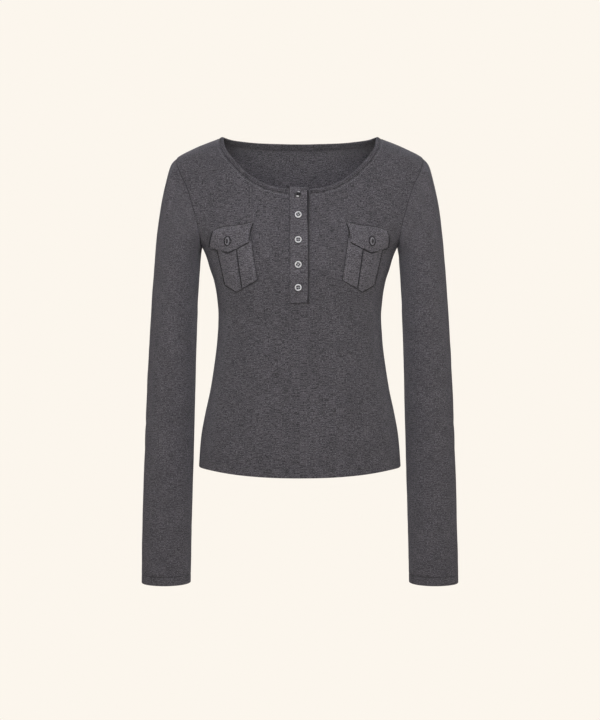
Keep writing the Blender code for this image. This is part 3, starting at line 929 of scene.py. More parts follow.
@dataclass(frozen=True)
class Jersey:
    """Charcoal heather jersey: grey and near-black fibres blended in fine flecks along the yarn."""

    name: str = "charcoal_jersey"
    dark: tuple = (0.027, 0.0247, 0.0262, 1.0)
    light: tuple = (0.136, 0.1252, 0.133, 1.0)
    pale: tuple = (0.27, 0.255, 0.27, 1.0)
    # How much lighter or darker this copy of the cloth is painted, as painted light and shade on its piece.
    tone: float = 1.0
    spread: float = 0.82
    relief: float = 0.5
    wale: float = 0.00092
    course: float = 0.0007

    def build(self) -> Material:
        """Material that reads the piece's own flat-cloth map.

        Returns:
            The material.
        """
        tree = Tree(self.name)
        place = tree.chart("cloth")
        flecks = tree.noise(place, (480.0, 1300.0), 0.0)
        grains = tree.noise(place, (900.0, 1500.0), 1.0)
        slubs, streaks = (tree.noise(place, (wide, 1250.0), 0.0) for wide in (190.0, 75.0))
        clouds = tree.noise(place, (30.0, 40.0), 3.0, 0.6)
        fibres = flecks * 0.3 + grains * 0.22 + slubs * 0.24 + streaks * 0.24
        share = (tree.ramp(fibres, 0.43, 0.57) - 0.5) * self.spread + 0.5
        colour = tree.blend(share, self.shade(self.dark), self.shade(self.light))
        hairs = tree.ramp(grains * 0.5 + flecks * 0.5, 0.60, 0.72)
        colour = tree.blend(hairs * 0.55, colour, self.shade(self.pale))
        colour = tree.blend(tree.ramp(clouds, 0.35, 0.65) * 0.16, colour, self.shade(self.dark))
        height = self.knit(tree, place) * 0.6 + grains * 0.7 + flecks * 0.5
        normal = tree.bump(height, self.relief, 0.0005)
        tree.set(Base_Color=colour, Roughness=0.92, Normal=normal, Specular_IOR_Level=0.18)
        tree.set(Sheen_Weight=0.22, Sheen_Roughness=0.55, Sheen_Tint=(0.86, 0.84, 0.9, 1.0))
        return tree.material

    def shade(self, colour: tuple) -> tuple:
        """The colour times the piece's painted lighting: its copy of the cloth is painted lighter or darker
        for how light falls on it.
        """
        return (*(part * self.tone for part in colour[:3]), 1.0)

    def knit(self, tree: Tree, place: Wire) -> Wire:
        """Relief of the loops: a sine across, plus a sine up that leans left and right with it.

        Args:
            tree: of the material.
            place: in the flat cloth, in metres.

        Returns:
            The relief.
        """
        across, up = tree.parts(place)
        ribs = (across * (2 * math.pi / self.wale)).math("SINE")
        rows = (up * (2 * math.pi / self.course) + ribs * 1.2).math("SINE")
        return ribs * 0.5 + rows * 0.5


@dataclass(frozen=True)
class Thread:
    """Sewing thread, a little darker than the cloth and faintly shiny."""

    name: str = "charcoal_thread"
    colour: tuple = (0.090, 0.085, 0.092, 1.0)
    worn: tuple = (0.21, 0.20, 0.21, 1.0)

    def build(self) -> Material:
        """Material with a fine twist.

        Returns:
            The material.
        """
        tree = Tree(self.name)
        twist = tree.speckle(1500.0, 2.0)
        colour, normal = tree.blend(twist, self.colour, self.worn), tree.bump(twist, 0.4, 0.0002)
        tree.set(Base_Color=colour, Roughness=0.6, Normal=normal, Specular_IOR_Level=0.35, Sheen_Weight=0.2)
        return tree.material


@dataclass(frozen=True)
class PolishedMetal:
    """Nickel of the buttons: a rim painted bright as a highlight over its real reflections, round a smoked,
    brushed middle, with painted shade in its holes.
    """

    name: str = "smoked_nickel"
    rim: tuple = (0.92, 0.91, 0.89, 1.0)
    middle: tuple = (0.43, 0.425, 0.43, 1.0)
    hole_shade: tuple = (0.012, 0.012, 0.012, 1.0)
    metallic: float = 0.35
    glint: bool = False
    rim_radius: float = 0.0038
    face_height: float = 0.0013

    def build(self) -> Material:
        """Material that reads how far from its axis and how high a point of the button lies.

        Returns:
            The material.
        """
        tree = Tree(self.name)
        scuffs = tree.speckle(900.0, 4.0, 0.6)
        radius, height = tree.parts(tree.chart("profile"))
        # The rim is painted bright as a highlight, over its real reflections.
        rim = tree.ramp(radius, self.rim_radius - 0.0002, self.rim_radius + 0.0001)
        # Points below the face, in the holes, are painted near-black as shade.
        deep = tree.ramp(height, self.face_height, self.face_height - 0.0003)
        if self.glint:
            _, upward = tree.parts(tree.chart("around"))
            rim = rim * tree.ramp(upward.math("ABSOLUTE"), 0.86, 0.97)
        colour = tree.blend(rim, self.middle, self.rim)
        colour = tree.blend(deep * (1.0 - rim), colour, self.hole_shade)
        colour = tree.blend(tree.ramp(scuffs, 0.45, 0.75) * 0.25, colour, self.middle)
        rough = tree.ramp(scuffs, 0.2, 0.9) * 0.15 + 0.25
        normal = tree.bump(scuffs, 0.12, 0.0001)
        tree.set(Base_Color=colour, Metallic=self.metallic, Roughness=rough, Normal=normal)
        return tree.material


# ---- Panels ----


@dataclass
class Panel:
    """Front or back of the body in one piece, with its turned hem.

    Of the armhole, the first armhole_bottom_share is met by rows from the lower centre line. Of the rest,
    centre_share is met by rows from the upper centre line, and what remains by rows from the neck edge.
    """

    cloth: BodyCloth
    reverse: Material
    face: Face
    neck: tuple
    centre_share: float
    slot_bottom: float | None = None
    armhole_bottom_share: float = 0.33
    roll_depth: float = 0.75
    roll_width: float = 1.5
    furrow_depth: float = 0.4
    flat: tuple = (0.42, 0.50)
    flat_area: float = 0.177

    def side_offset(self, z: Array) -> Array:
        """Angle from the middle of the panel at which it stops, half a seam gap before the side."""
        reach = self.cloth.figure.reach(z, self.face)
        return math.pi / 2 - (SEAM_GAP / 2 / reach) ** (CORNER_POWER / 2)

    def edge(self, table: tuple, shares: Array) -> tuple[Array, Array]:
        """Offset and height at shares of the length of a cut edge.

        Args:
            table: points of the edge as seen from the front.
            shares: of its length, from its first point.

        Returns:
            Angles from the middle of the panel, and heights.
        """
        fine = np.linspace(0, len(table) - 1, FINE)
        index = np.arange(len(table))
        x = through(index, column(table, "x"), fine)
        z = through(index, column(table, "z"), fine)
        offset = np.minimum(self.cloth.figure.offset_at(x, z), self.side_offset(z))
        at = along_line(self.cloth.figure.point(self.angle(offset), z), shares)
        order = np.arange(FINE)
        return np.interp(at, order, offset), np.interp(at, order, z)

    def left_edge(self, table: tuple, shares: Array) -> Grid:
        """The worn cloth along a cut edge on the wearer's left, at shares of the edge's length."""
        offset, z = self.edge(table, shares)
        return self.cloth.lay(offset if self.face is Face.FRONT else math.pi - offset, z)

    def angle(self, offset: Array) -> Array:
        """Angle round the body at an offset from the middle of the panel."""
        return offset if self.face is Face.FRONT else math.pi + offset

    def half(self) -> tuple[Array, Array, int]:
        """Offsets and heights of half of the panel, a row from its middle to its side.

        Rows are level up to a little above the underarm. From there they run from the centre line, then from
        the neck edge, to the armhole, and the last row is the shoulder seam.

        Returns:
            Offsets, heights, and the first row that starts on the neck edge.
        """
        hem = HEM_Z + np.array([0, *HEM_LINES, 12.4, 13.5, 14.6, 15.6, 18.0])
        count = round((UNDERARM.z - hem[-1]) / CELL)
        levels = np.concatenate([hem, np.linspace(hem[-1], UNDERARM.z, count + 1)[1:]])
        bottom = np.linspace(0, self.armhole_bottom_share, 15)
        side = graded(1.0, 0.027, (), (0.022, 0.012, 0.005))[1:]
        arm_shares = self.armhole_bottom_share + (1 - self.armhole_bottom_share) * side
        arm_offset, arm_z = self.edge(ARMHOLE, np.concatenate([bottom, arm_shares]))
        start_z = arm_z[len(bottom) - 1]
        climbs = side < self.centre_share
        climb_z = start_z + (self.neck[0].z - start_z) * side[climbs] / self.centre_share
        neck_shares = (side[~climbs] - self.centre_share) / (1 - self.centre_share)
        neck_offset, neck_z = self.edge(self.neck, neck_shares)
        centre_z = np.concatenate([levels, arm_z[1 : len(bottom)], climb_z])
        inner_z = np.concatenate([centre_z, neck_z])
        centre_offset = self.cloth.figure.offset_at(SLOT_HALF, centre_z)
        inner_offset = np.concatenate([centre_offset, neck_offset])
        outer_offset = np.concatenate([self.side_offset(levels), arm_offset[1:]])
        outer_z = np.concatenate([levels, arm_z[1:]])
        share = graded(185.0, CELL, (1.0, 2.2, 3.5, 4.8, 6.2), (0.25, 0.8, 1.5, 2.4))
        offset = inner_offset[:, None] + (outer_offset - inner_offset)[:, None] * share
        z = inner_z[:, None] + (outer_z - inner_z)[:, None] * share
        return offset, z, len(centre_z)

    def build(self, material: Material, node: str) -> None:
        """Panel with rolled seam edges, a rounded hem edge and the furrow of the hem stitching.

        Args:
            material: of its outer face.
            node: the solid that it stands for.
        """
        offset, z, neck_row = self.half()
        middle = np.linspace(-1, 1, 10)[None, 1:-1]
        offsets = np.concatenate([-offset[:, ::-1], offset[:, :1] * middle, offset], axis=1)
        heights = np.concatenate([z[:, ::-1], z[:, :1] + 0 * middle, z], axis=1)
        grid = self.cloth.lay(self.angle(offsets), heights)
        by_row = run(grid.points, 1)
        side = np.minimum(by_row, by_row[:, -1:] - by_row)
        by_column = run(grid.points, 0)
        shoulder = by_column[-1:] - by_column
        seam = np.minimum(side, np.where(np.arange(len(z))[:, None] > neck_row, shoulder, 99.0))
        # Round the underarm the sleeve turns away, and a dip would only open its seam.
        dip = self.roll_depth * bell(seam, self.roll_width)
        dip *= np.clip(ease((UNDERARM.z - 3.0 - heights) / 6.0) + ease((heights + 140.0) / 18.0), 0, 1)
        from_hem = heights - HEM_Z
        dip += self.furrow_depth * bell(from_hem - STITCH_LEVEL, 1.0)
        grid = grid._replace(points=grid.points - grid.normals * dip[..., None])
        cells = np.ones((len(z) - 1, offsets.shape[1] - 1), bool)
        open_row = neck_row
        if self.slot_bottom is not None:
            open_row = int(np.argmin(np.abs(z[:, 0] - self.slot_bottom)))
        first = offset.shape[1] - 1
        cells[open_row:, first : first + middle.shape[1] + 1] = False
        wall, inset, sides = hem_wall(from_hem), rounding(from_hem, WALL), (material, self.reverse)
        piece = Workroom.shell(f"jersey_{node}", grid, wall, sides, node, inset, cells)


# ---- Sleeves ----


@dataclass
class Sleeve:
    """One set-in sleeve with its turned cuff, worked out for the wearer's left and mirrored for the right."""

    front: Panel
    back: Panel
    reverse: Material
    side: int
    settle: float = 110.0
    run_on: float = 0.6
    puff: float = 0.45
    roll_depth: float = 0.75
    roll_width: float = 1.5
    furrow_depth: float = 0.45
    flat: tuple = (0.34, 0.63)
    flat_area: float = 0.131
    from_cuff: Array | None = None

    def armhole(self) -> tuple[Array, Array]:
        """Places and body directions round the armhole: up its front from the underarm, down its back.

        Returns:
            The places and the directions.
        """
        bottom = np.linspace(0, self.front.armhole_bottom_share, 16)
        shares = np.concatenate([bottom, np.linspace(bottom[-1], 1, 51)[1:]])
        front, back = (panel.left_edge(ARMHOLE, shares) for panel in (self.front, self.back))
        points = np.concatenate([front.points, back.points[-2:0:-1]])
        normals = np.concatenate([front.normals, back.normals[-2:0:-1]])
        # The underarm point and the shoulder point lie on the side seam.
        points[[0, len(shares) - 1], 1] = 0.0
        return points, normals

    def rings(self, shares: Array) -> Array:
        """Rings of the sleeve, from the armhole down to the cuff.

        A ring is an ellipse on the line from its inner to its outer point. Near the armhole the shape of the
        armhole itself is mixed in, and fades over the settling drop.

        Args:
            shares: of the length down the outer line, one for each ring.

        Returns:
            Grid of points.
        """
        armhole, _ = self.armhole()
        fine = np.linspace(0, len(SLEEVE) - 1, FINE)
        index = np.arange(len(SLEEVE))
        curves = {name: through(index, column(SLEEVE, name), fine) for name in SleeveRow._fields}
        at = along_line(np.stack([curves["outer_x"], curves["outer_z"]], axis=-1), shares)
        ring = {name: np.interp(at, np.arange(FINE), curve)[:, None] for name, curve in curves.items()}
        outer = np.stack([ring["outer_x"], ring["outer_z"]], axis=-1)
        inner = np.stack([ring["inner_x"], ring["inner_z"]], axis=-1)
        centre = (outer + inner) / 2
        lean = (outer - inner) / 2
        turn = np.linspace(-np.pi, np.pi, len(armhole), endpoint=False)
        toward = lean[0, 0] / (lean[0, 0] @ lean[0, 0])
        root = (armhole[:, [0, 2]] - centre[0, 0]) @ toward
        front_or_back = np.where(np.arange(len(turn)) < len(turn) // 2, -1, 1)
        root_turn = front_or_back * np.arccos(np.clip(root, -1, 1))
        settled = ease((ring["outer_z"][0] - ring["outer_z"]) / self.settle)
        turn = root_turn + (turn - root_turn) * settled
        flat = centre + lean * np.cos(turn)[..., None]
        depth = ring["middle_y"] + ring["half_depth"] * np.sin(turn)
        points = np.stack([flat[..., 0], depth, flat[..., 1]], axis=-1)
        return points + (armhole - points[0]) * (1 - settled)[..., None]

    def set_in(self, points: Array, normals: Array, from_seam: Array) -> tuple[Array, Array, Array]:
        """Fit the first rings to the armhole.

        Where the sleeve runs on from the body, its first rings face the way the body does. The seam's gap
        opens away from the body, along the arm and outwards.

        Args:
            points: of the sleeve's grid.
            normals: outward directions there.
            from_seam: length down the sleeve from the armhole.

        Returns:
            The points, the directions, and how far the sleeve runs on from the body round the armhole, from
            0 to 1.
        """
        _, body_out = self.armhole()
        facing = np.sum(normals[0] * body_out, axis=-1, keepdims=True)
        agree = np.clip(facing / self.run_on, 0, 1)
        near = bell(from_seam, 2.5)[..., None] * agree
        normals = unit(normals * (1 - near) + body_out * near)
        seam = np.roll(points[0], -1, axis=0) - np.roll(points[0], 1, axis=0)
        folded = 1 - np.clip(np.sum(normals[0] * body_out, axis=-1, keepdims=True), 0, 1)
        arm = unit(np.array([SHOULDER_POINT.z - UNDERARM.z, 0.0, UNDERARM.x - SHOULDER_POINT.x]))
        away = unit(arm + unit(np.cross(seam, body_out)) + body_out * folded)
        return points + away * ARMHOLE_GAP * bell(from_seam, 1.5)[..., None], normals, agree[:, 0]

    def grid(self) -> Grid:
        """Outer face of the wearer's left sleeve with its folds, rows up and columns to the right.

        Returns:
            The outer face.
        """
        length = float(run(np.array([[row.outer_x, row.outer_z] for row in SLEEVE]))[-1])
        cuff_lines = (*HEM_LINES, 12.0, 13.1, 14.2, 15.3)
        points = self.rings(graded(length, CELL, (0.5, 1.2, 2.2), cuff_lines))
        round_it = np.roll(points, -1, axis=1) - np.roll(points, 1, axis=1)
        normals = unit(np.cross(np.gradient(points, axis=0), round_it))
        from_seam = run(points, 0)
        points, normals, agree = self.set_in(points, normals, from_seam)
        # The outer line is the middle column, and the front lies before it.
        across = run(points, 1)
        across = across - across[:, [across.shape[1] // 2]]
        towards_front = -across
        top, cuff = SLEEVE[3], SLEEVE[-1]
        up = -(points @ unit(np.array([cuff.outer_x - top.outer_x, 0.0, cuff.outer_z - top.outer_z])))
        out = relief(SLEEVE_FOLDS, towards_front, points[..., 2])
        out += 0.3 * lattice(towards_front, up, 30.0, 7 + self.side)
        out += 0.15 * lattice(towards_front, up, 12.0, 11)
        # The head of the sleeve puffs a little beyond its seam, and the seam itself is rolled in.
        out += self.puff * bell(from_seam - 9.0, 6.0) * ease((points[..., 2] + 150.0) / 90.0)
        out = out * ease(from_seam / 7.0) - self.roll_depth * bell(from_seam, self.roll_width) * agree
        from_cuff = from_seam[-1:] - from_seam
        out -= self.furrow_depth * bell(from_cuff - STITCH_LEVEL, 1.0)
        points = points + normals * out[..., None]
        self.from_cuff = from_cuff[::-1]
        return Grid(points[::-1], normals[::-1], across[::-1], up[::-1])

    @staticmethod
    def mirrored(grid: Grid) -> Grid:
        """The same grid on the wearer's other side, still with its columns to the right."""
        turned = Grid(*(part[:, ::-1] for part in grid))
        return Grid(turned.points * MIRROR, turned.normals * MIRROR, -turned.across, turned.up)

    def build(self, material: Material, node: str) -> Grid:
        """Make the sleeve.

        Args:
            material: of its outer face.
            node: the solid that it stands for.

        Returns:
            Its outer face.
        """
        grid = self.grid()
        from_cuff = self.from_cuff
        if self.side < 0:
            grid, from_cuff = self.mirrored(grid), from_cuff[:, ::-1]
        wall, inset, sides = hem_wall(from_cuff), rounding(from_cuff, WALL), (material, self.reverse)
        piece = Workroom.shell(f"jersey_{node}", grid, wall, sides, node, inset, closed=True)
        return grid


# ---- Stitching ----


class StitchRing(NamedTuple):
    """A ring of a stitch: its place as a share of the length, its radius and rise as shares of the radius."""

    place: float
    radius: float
    rise: float


STITCH = rows_of(
    StitchRing,
    (-0.5, 0.35, -0.7),
    (-0.34, 0.9, 0.1),
    (0.0, 1.0, 0.45),
    (0.34, 0.9, 0.1),
    (0.5, 0.35, -0.7),
)


@dataclass
class Stitching:
    """Rows of thread on cloth, gathered into one piece."""

    name: str
    pitch: float = 3.0
    length: float = 2.3
    radius: float = 0.32
    reach: float = 0.4
    vertices: list = field(default_factory=list)

    def row(self, points: Array, normals: Array) -> None:
        """Add stitches along a line on the cloth.

        Each is a five-sided tube of a few rings along the line, thin and sunk at its ends.

        Args:
            points: of the line.
            normals: outward directions there.
        """
        length = run(points)
        count = max(1, int(length[-1] / self.pitch))
        at = (np.arange(count) + 0.5) / count * length[-1]
        before, after = (carried(points, length, at + side * self.reach) for side in (-1, 1))
        way = unit(after - before)
        aside = unit(np.cross(unit(carried(normals, length, at)), way))
        out = np.cross(way, aside)
        along = (column(STITCH, "place") * self.length)[:, None]
        rise = (column(STITCH, "rise") * self.radius)[:, None]
        core = carried(points, length, at)[:, None] + way[:, None] * along + out[:, None] * rise
        radii = (column(STITCH, "radius") * self.radius)[:, None, None]
        self.vertices.append(core[:, :, None] + tube_ring(aside, out, 5)[:, None] * radii)

    def build(self, material: Material) -> None:
        """Make all the rows as one piece.

        Args:
            material: of the thread.
        """
        tubes = np.concatenate(self.vertices)
        index = np.arange(tubes.size // 3).reshape(tubes.shape[:3])
        faces = tube_walls(index).tolist()
        # Each end of a stitch is closed with a face of four corners and one of three.
        for ring, way in ((index[:, 0], -1), (index[:, -1], 1)):
            for corners in ((0, 1, 2, 3), (0, 3, 4)):
                faces += ring[:, corners[::way]].tolist()
        Workroom.sew_in(Workroom.item(self.name, tubes.reshape(-1, 3), faces), "jersey", (material,))


@dataclass
class ShadowRolls:
    """Narrow rolls shaped like turned-in cloth edges, painted near-black as the shadow in seams, along edges
    and under folds, gathered into one piece.
    """

    name: str
    sides: int = 6
    taper: float = 1.5
    vertices: list = field(default_factory=list)
    faces: list = field(default_factory=list)
    count: int = 0

    def line(self, points: Array, normals: Array, radius: float | Array, sunk: float = 0.0) -> None:
        """Add a roll of painted shadow along a line. It thins to nothing at its ends.

        Args:
            points: of the line.
            normals: outward directions there.
            radius: of the roll, one number or one for each point.
            sunk: how far its middle lies below the line.
        """
        way = unit(np.gradient(points, axis=0))
        aside = unit(np.cross(normals, way))
        out = np.cross(way, aside)
        length = run(points)
        to_end = np.minimum(length, length[-1] - length)
        thick = radius * np.sqrt(np.clip(to_end / self.taper, 0.02, 1))
        around = tube_ring(aside, out, self.sides) * thick[:, None, None]
        self.vertices.append(((points - out * sunk)[:, None] + around).reshape(-1, 3))
        index = self.count + np.arange(len(points) * self.sides).reshape(-1, self.sides)
        self.faces += [*tube_walls(index).tolist(), index[0, ::-1].tolist(), index[-1].tolist()]
        self.count += index.size

    def build(self, material: Material) -> None:
        """Make all the rolls of painted shadow as one piece."""
        piece = Workroom.item(self.name, np.concatenate(self.vertices), self.faces)
        Workroom.sew_in(piece, "jersey", (material,))


# ---- Neck ----


@dataclass
class NeckBinding:
    """Narrow ribbed band round the neck, from one side of the placket round the back to the other."""

    front: Panel
    back: Panel
    reverse: Material
    width: float = 5.8
    thickness: float = 2.1
    rise: float = 0.75
    end_left: float = 14.7
    end_right: float = -15.2
    rib_pitch: float = 2.3
    rib_depth: float = 0.24
    flat: tuple = (0.62, 0.01)

    def edge(self, step: float) -> tuple[Array, Array]:
        """Neck edge of the panels, with body directions, a point every step.

        Args:
            step: between the points.

        Returns:
            The points, and outward directions there.
        """
        shares = np.linspace(0, 1, 220)
        front, back = (panel.left_edge(panel.neck, shares) for panel in (self.front, self.back))
        points = np.concatenate([front.points, back.points[-2::-1]])
        normals = np.concatenate([front.normals, back.normals[-2::-1]])
        points = np.concatenate([points, points[::-1] * MIRROR])
        normals = np.concatenate([normals, normals[::-1] * MIRROR])
        keep = (points[:, 1] > 0) | (points[:, 0] > self.end_left) | (points[:, 0] < self.end_right)
        points, normals = points[keep], normals[keep]
        length = run(points)
        at = np.linspace(0, length[-1], round(length[-1] / step))
        return carried(points, length, at), unit(carried(normals, length, at))

    @staticmethod
    def outward(points: Array, normals: Array) -> Array:
        """Direction in the cloth, away from the panels, at each point of the neck edge."""
        return unit(np.cross(normals, unit(np.gradient(points, axis=0))))

    def build(self, material: Material, node: str) -> None:
        """Band: a rounded strip beyond the panels' edge, with fine ribs across it.

        Its height over the cloth is a sine across its width, to a low power, plus cosine ribs along it.

        Args:
            material: of its outer face.
            node: the solid that it stands for.
        """
        points, normals = self.edge(0.46)
        share = np.array([0, 0.02, 0.07, 0.15, 0.28, 0.42, 0.57, 0.72, 0.85, 0.93, 0.98, 1.0])[:, None]
        length = run(points)
        arch = np.sin(np.pi * share)
        ribs = self.rib_depth * np.cos(2 * np.pi * length / self.rib_pitch) * arch**0.6
        height = self.rise * arch**0.7 + ribs
        # Round the back of the neck the band is a little wider.
        beyond = SEAM_GAP + (self.width + 1.0 * ease(points[:, 1] / 30.0)) * share
        outer = points + self.outward(points, normals) * beyond[..., None] + normals * height[..., None]
        facing = np.broadcast_to(normals, outer.shape)
        grid = Grid(outer, facing, length + 0 * share, self.width * share + 0 * length)
        inset = rounding(np.minimum(share, 1 - share) * self.width, self.thickness * 0.49) + 0 * length
        sides = (material, self.reverse)
        piece = Workroom.shell(f"jersey_{node}", grid, self.thickness + ribs, sides, node, inset)

    def tape(self, material: Material) -> None:
        """Narrow tape over the seam inside the back neck, from shoulder to shoulder, painted darker than the
        reverse round it as shade inside the neck.

        Args:
            material: of its outer face.
        """
        points, normals = self.edge(1.6)
        outward = self.outward(points, normals)
        back = points[:, 1] > 2.0
        points, normals, outward = points[back], normals[back], outward[back]
        share = np.array([0, 0.04, 0.12, 0.3, 0.5, 0.7, 0.88, 0.96, 1.0])[:, None]
        width = share * (self.width + 4.8) - 4.2
        inside = self.thickness - 0.25 + 0.5 * np.sin(np.pi * share)
        length = run(points)[None] + 0 * share
        places = points + outward * width[..., None] - normals * inside[..., None]
        grid = Grid(places, np.broadcast_to(-normals, places.shape), length, width + 0 * length)
        flipped = Grid(*(part[:, ::-1] for part in grid))
        piece = Workroom.shell("jersey_neck_tape", flipped, 0.5, (material, self.reverse))

    def stitch_line(self, below: float, lift: float) -> tuple[Array, Array]:
        """Line on the panels at a distance outside the band, with outward directions along it."""
        points, normals = self.edge(1.2)
        return points - self.outward(points, normals) * below + normals * lift, normals


# ---- Placket, pockets and buttons ----


class Laid(NamedTuple):
    """A piece laid on the front: where its grid lies as seen from the front, and its outer face."""

    x: Array
    z: Array
    grid: Grid

    def line(self, x: Array, z: Array, lift: float = 0.05) -> tuple[Array, Array]:
        """Places and directions on the outer face under a line seen from the front.

        Each is the mean of the nearest grid points, weighted by nearness.

        Args:
            x: of the line's points.
            z: of the line's points.
            lift: how far off the face.

        Returns:
            Places and outward directions.
        """
        far = (self.x.ravel()[None] - np.asarray(x)[:, None]) ** 2
        far = far + (self.z.ravel()[None] - np.asarray(z)[:, None]) ** 2
        nearest = np.argsort(far, axis=1)[:, :6]
        weight = 1 / (np.take_along_axis(far, nearest, axis=1) + 0.02)
        weight = (weight / weight.sum(axis=1, keepdims=True))[..., None]
        places = (self.grid.points.reshape(-1, 3)[nearest] * weight).sum(axis=1)
        normals = unit((self.grid.normals.reshape(-1, 3)[nearest] * weight).sum(axis=1))
        # The mean place drifts along the face, so the line's own x and z are put back.
        places[:, 0], places[:, 2] = x, z
        return places + normals * lift, normals


def inset_outline(corners: Array, distance: float, step: float = 1.0) -> tuple[Array, Array]:
    """Line inside an open outline, with its corners kept.

    Args:
        corners: of the outline, in order, with the inside on the left.
        distance: how far inside.
        step: between the points of the line.

    Returns:
        x and z of the points.
    """
    way = unit(np.diff(corners, axis=0))
    left = np.stack([-way[:, 1], way[:, 0]], axis=-1)
    moved = [corners[0] + left[0] * distance]
    for k in range(1, len(corners) - 1):
        half = unit(left[k - 1] + left[k])
        moved.append(corners[k] + half * distance / max(0.3, float(half @ left[k])))
    moved.append(corners[-1] + left[-1] * distance)
    moved = np.array(moved)
    length = run(moved)
    at = np.linspace(0, length[-1], max(2, round(length[-1] / step)))
    x, z = carried(moved, length, at).T
    return x, z


@dataclass
class Placket:
    """Buttoned half placket: an upper band over the slot and an under band that fills the slot."""

    cloth: BodyCloth
    reverse: Material
    sewn_x: float = -14.4
    free_x: float = 11.4
    shadow_strip_x: float = 14.0
    bottom_z: float = -236.3
    top_z: float = -72.7
    under_top: float = -73.5
    lift: float = 0.4
    thickness: float = 1.6
    edge_seam: float = 2.9
    box_rows: tuple = (2.4, 7.2)
    button_pitch: float = 33.0

    @staticmethod
    def drawn_in(z: Array) -> Array:
        """How far the free edge is drawn in at a height: beside the upper buttons and at the corner."""
        return 1.1 * ease((z + 134.0) / 18.0) - 0.5 * ease((z + 84.0) / 12.0) + 0.9 * ease((-224.0 - z) / 8.0)

    def band(self, x: tuple, z: tuple, lift: float, thickness: float, wave: float) -> tuple[Laid, Array]:
        """Upright band with rounded edges.

        Args:
            x: its two side edges.
            z: its bottom and top.
            lift: of its back off the panel.
            thickness: of the band.
            wave: how far its free edge lifts and falls between the buttons.

        Returns:
            Its outer face, and the inset that rounds its edges.
        """
        wide, tall = x[1] - x[0], z[1] - z[0]
        across = x[0] + wide * graded(wide, 1.3, EDGE_LINES, EDGE_LINES)
        up = z[0] + tall * graded(tall, 2.0, EDGE_LINES, EDGE_LINES)
        grid_x, grid_z = np.meshgrid(across, up)
        free = ease((grid_x - x[0]) / wide)
        phase = (grid_z - z[0]) / self.button_pitch * 2 * np.pi + 0.8
        ripple = np.sin(phase) * (0.6 + 0.4 * np.sin(grid_z / 19.0))
        out = lift + thickness + wave * free * (2.2 + 0.5 * ripple)
        if wave:
            grid_x = grid_x - self.drawn_in(grid_z) * ease((grid_x - x[1] + 9.0) / 9.0)
            for line in (0.4, self.edge_seam):
                out = out - 0.3 * bell(grid_x - self.sewn_x - line, 0.8)
            for line in self.box_rows:
                out = out - 0.25 * bell(grid_z - self.bottom_z - line, 0.8)
        laid = Laid(grid_x, grid_z, self.cloth.on_front(grid_x, grid_z, out))
        return laid, rounding(edge_distance(laid.grid.points), thickness * 0.5)

    def build(self, material: Material) -> Laid:
        """Make both bands.

        Args:
            material: of both bands.

        Returns:
            The upper band's outer face.
        """
        sides, ends = (self.sewn_x, self.free_x), (self.bottom_z, self.top_z)
        over, inset = self.band(sides, ends, self.lift, self.thickness, wave=0.6)
        cloths = (material, self.reverse)
        piece = Workroom.shell(
            "jersey_placket_over", over.grid, self.thickness, cloths, "placket_over", inset
        )
        edge = SLOT_HALF - SEAM_GAP
        ends = (SLOT_BOTTOM + SEAM_GAP, self.under_top)
        under, inset = self.band((-edge, edge), ends, -WALL, WALL, wave=0.0)
        piece = Workroom.shell("jersey_placket_under", under.grid, WALL, cloths, "placket_under", inset)
        return over

    def facing(self, material: Material) -> None:
        """Strip of the facing beyond the free edge, painted dark as the shadow that the free edge casts.

        Args:
            material: of its outer face.
        """
        thickness, ends = 0.7, (self.bottom_z + 1.5, self.top_z - 5.0)
        strip, inset = self.band((6.3, self.shadow_strip_x), ends, 0.15, thickness, wave=0.0)
        cloths = (material, self.reverse)
        piece = Workroom.shell("jersey_placket_shadow_strip", strip.grid, thickness, cloths, inset=inset)

    def stitch(self, over: Laid, thread: Stitching) -> None:
        """Edge rows down the sewn side, and the box at the bottom.

        Args:
            over: the upper band.
            thread: that takes the rows.
        """
        z = np.linspace(self.bottom_z + 1.2, self.top_z - 0.8, 160)
        thread.row(*over.line(0 * z + self.sewn_x + self.edge_seam, z))
        x = np.linspace(self.sewn_x + 1.0, self.free_x - 1.0, 28)
        for level in self.box_rows:
            thread.row(*over.line(x, 0 * x + self.bottom_z + level))

    def shade(self, rolls: ShadowRolls) -> None:
        """Rolls of painted shadow at the turned-in edges: thin at the sewn side and the bottom, full under
        the free edge, and thin along the facing strip's edge.

        Args:
            rolls: that take the rolls of painted shadow.
        """
        z = np.linspace(self.bottom_z, self.top_z - 4.0, 150)
        x = np.linspace(self.sewn_x, self.free_x - 1.0, 40)
        drawn = self.drawn_in(z)
        sides = (
            (0 * z + self.sewn_x - 0.3, z, 0.42 * (0.15 + 0.85 * ease((z + 194.0) / 16.0)), 0.1),
            (x, 0 * x + self.bottom_z - 0.3, 0.24, 0.1),
            (self.free_x + 0.2 - 0.3 * drawn, z, 1.4 + 0.55 * drawn, -1.1),
            (0 * z[4:-2] + self.shadow_strip_x + 0.1, z[4:-2], 0.3, 0.1),
        )
        for across, up, radius, sunk in sides:
            laid = self.cloth.on_front(across, up)
            rolls.line(laid.points, laid.normals, radius, sunk)


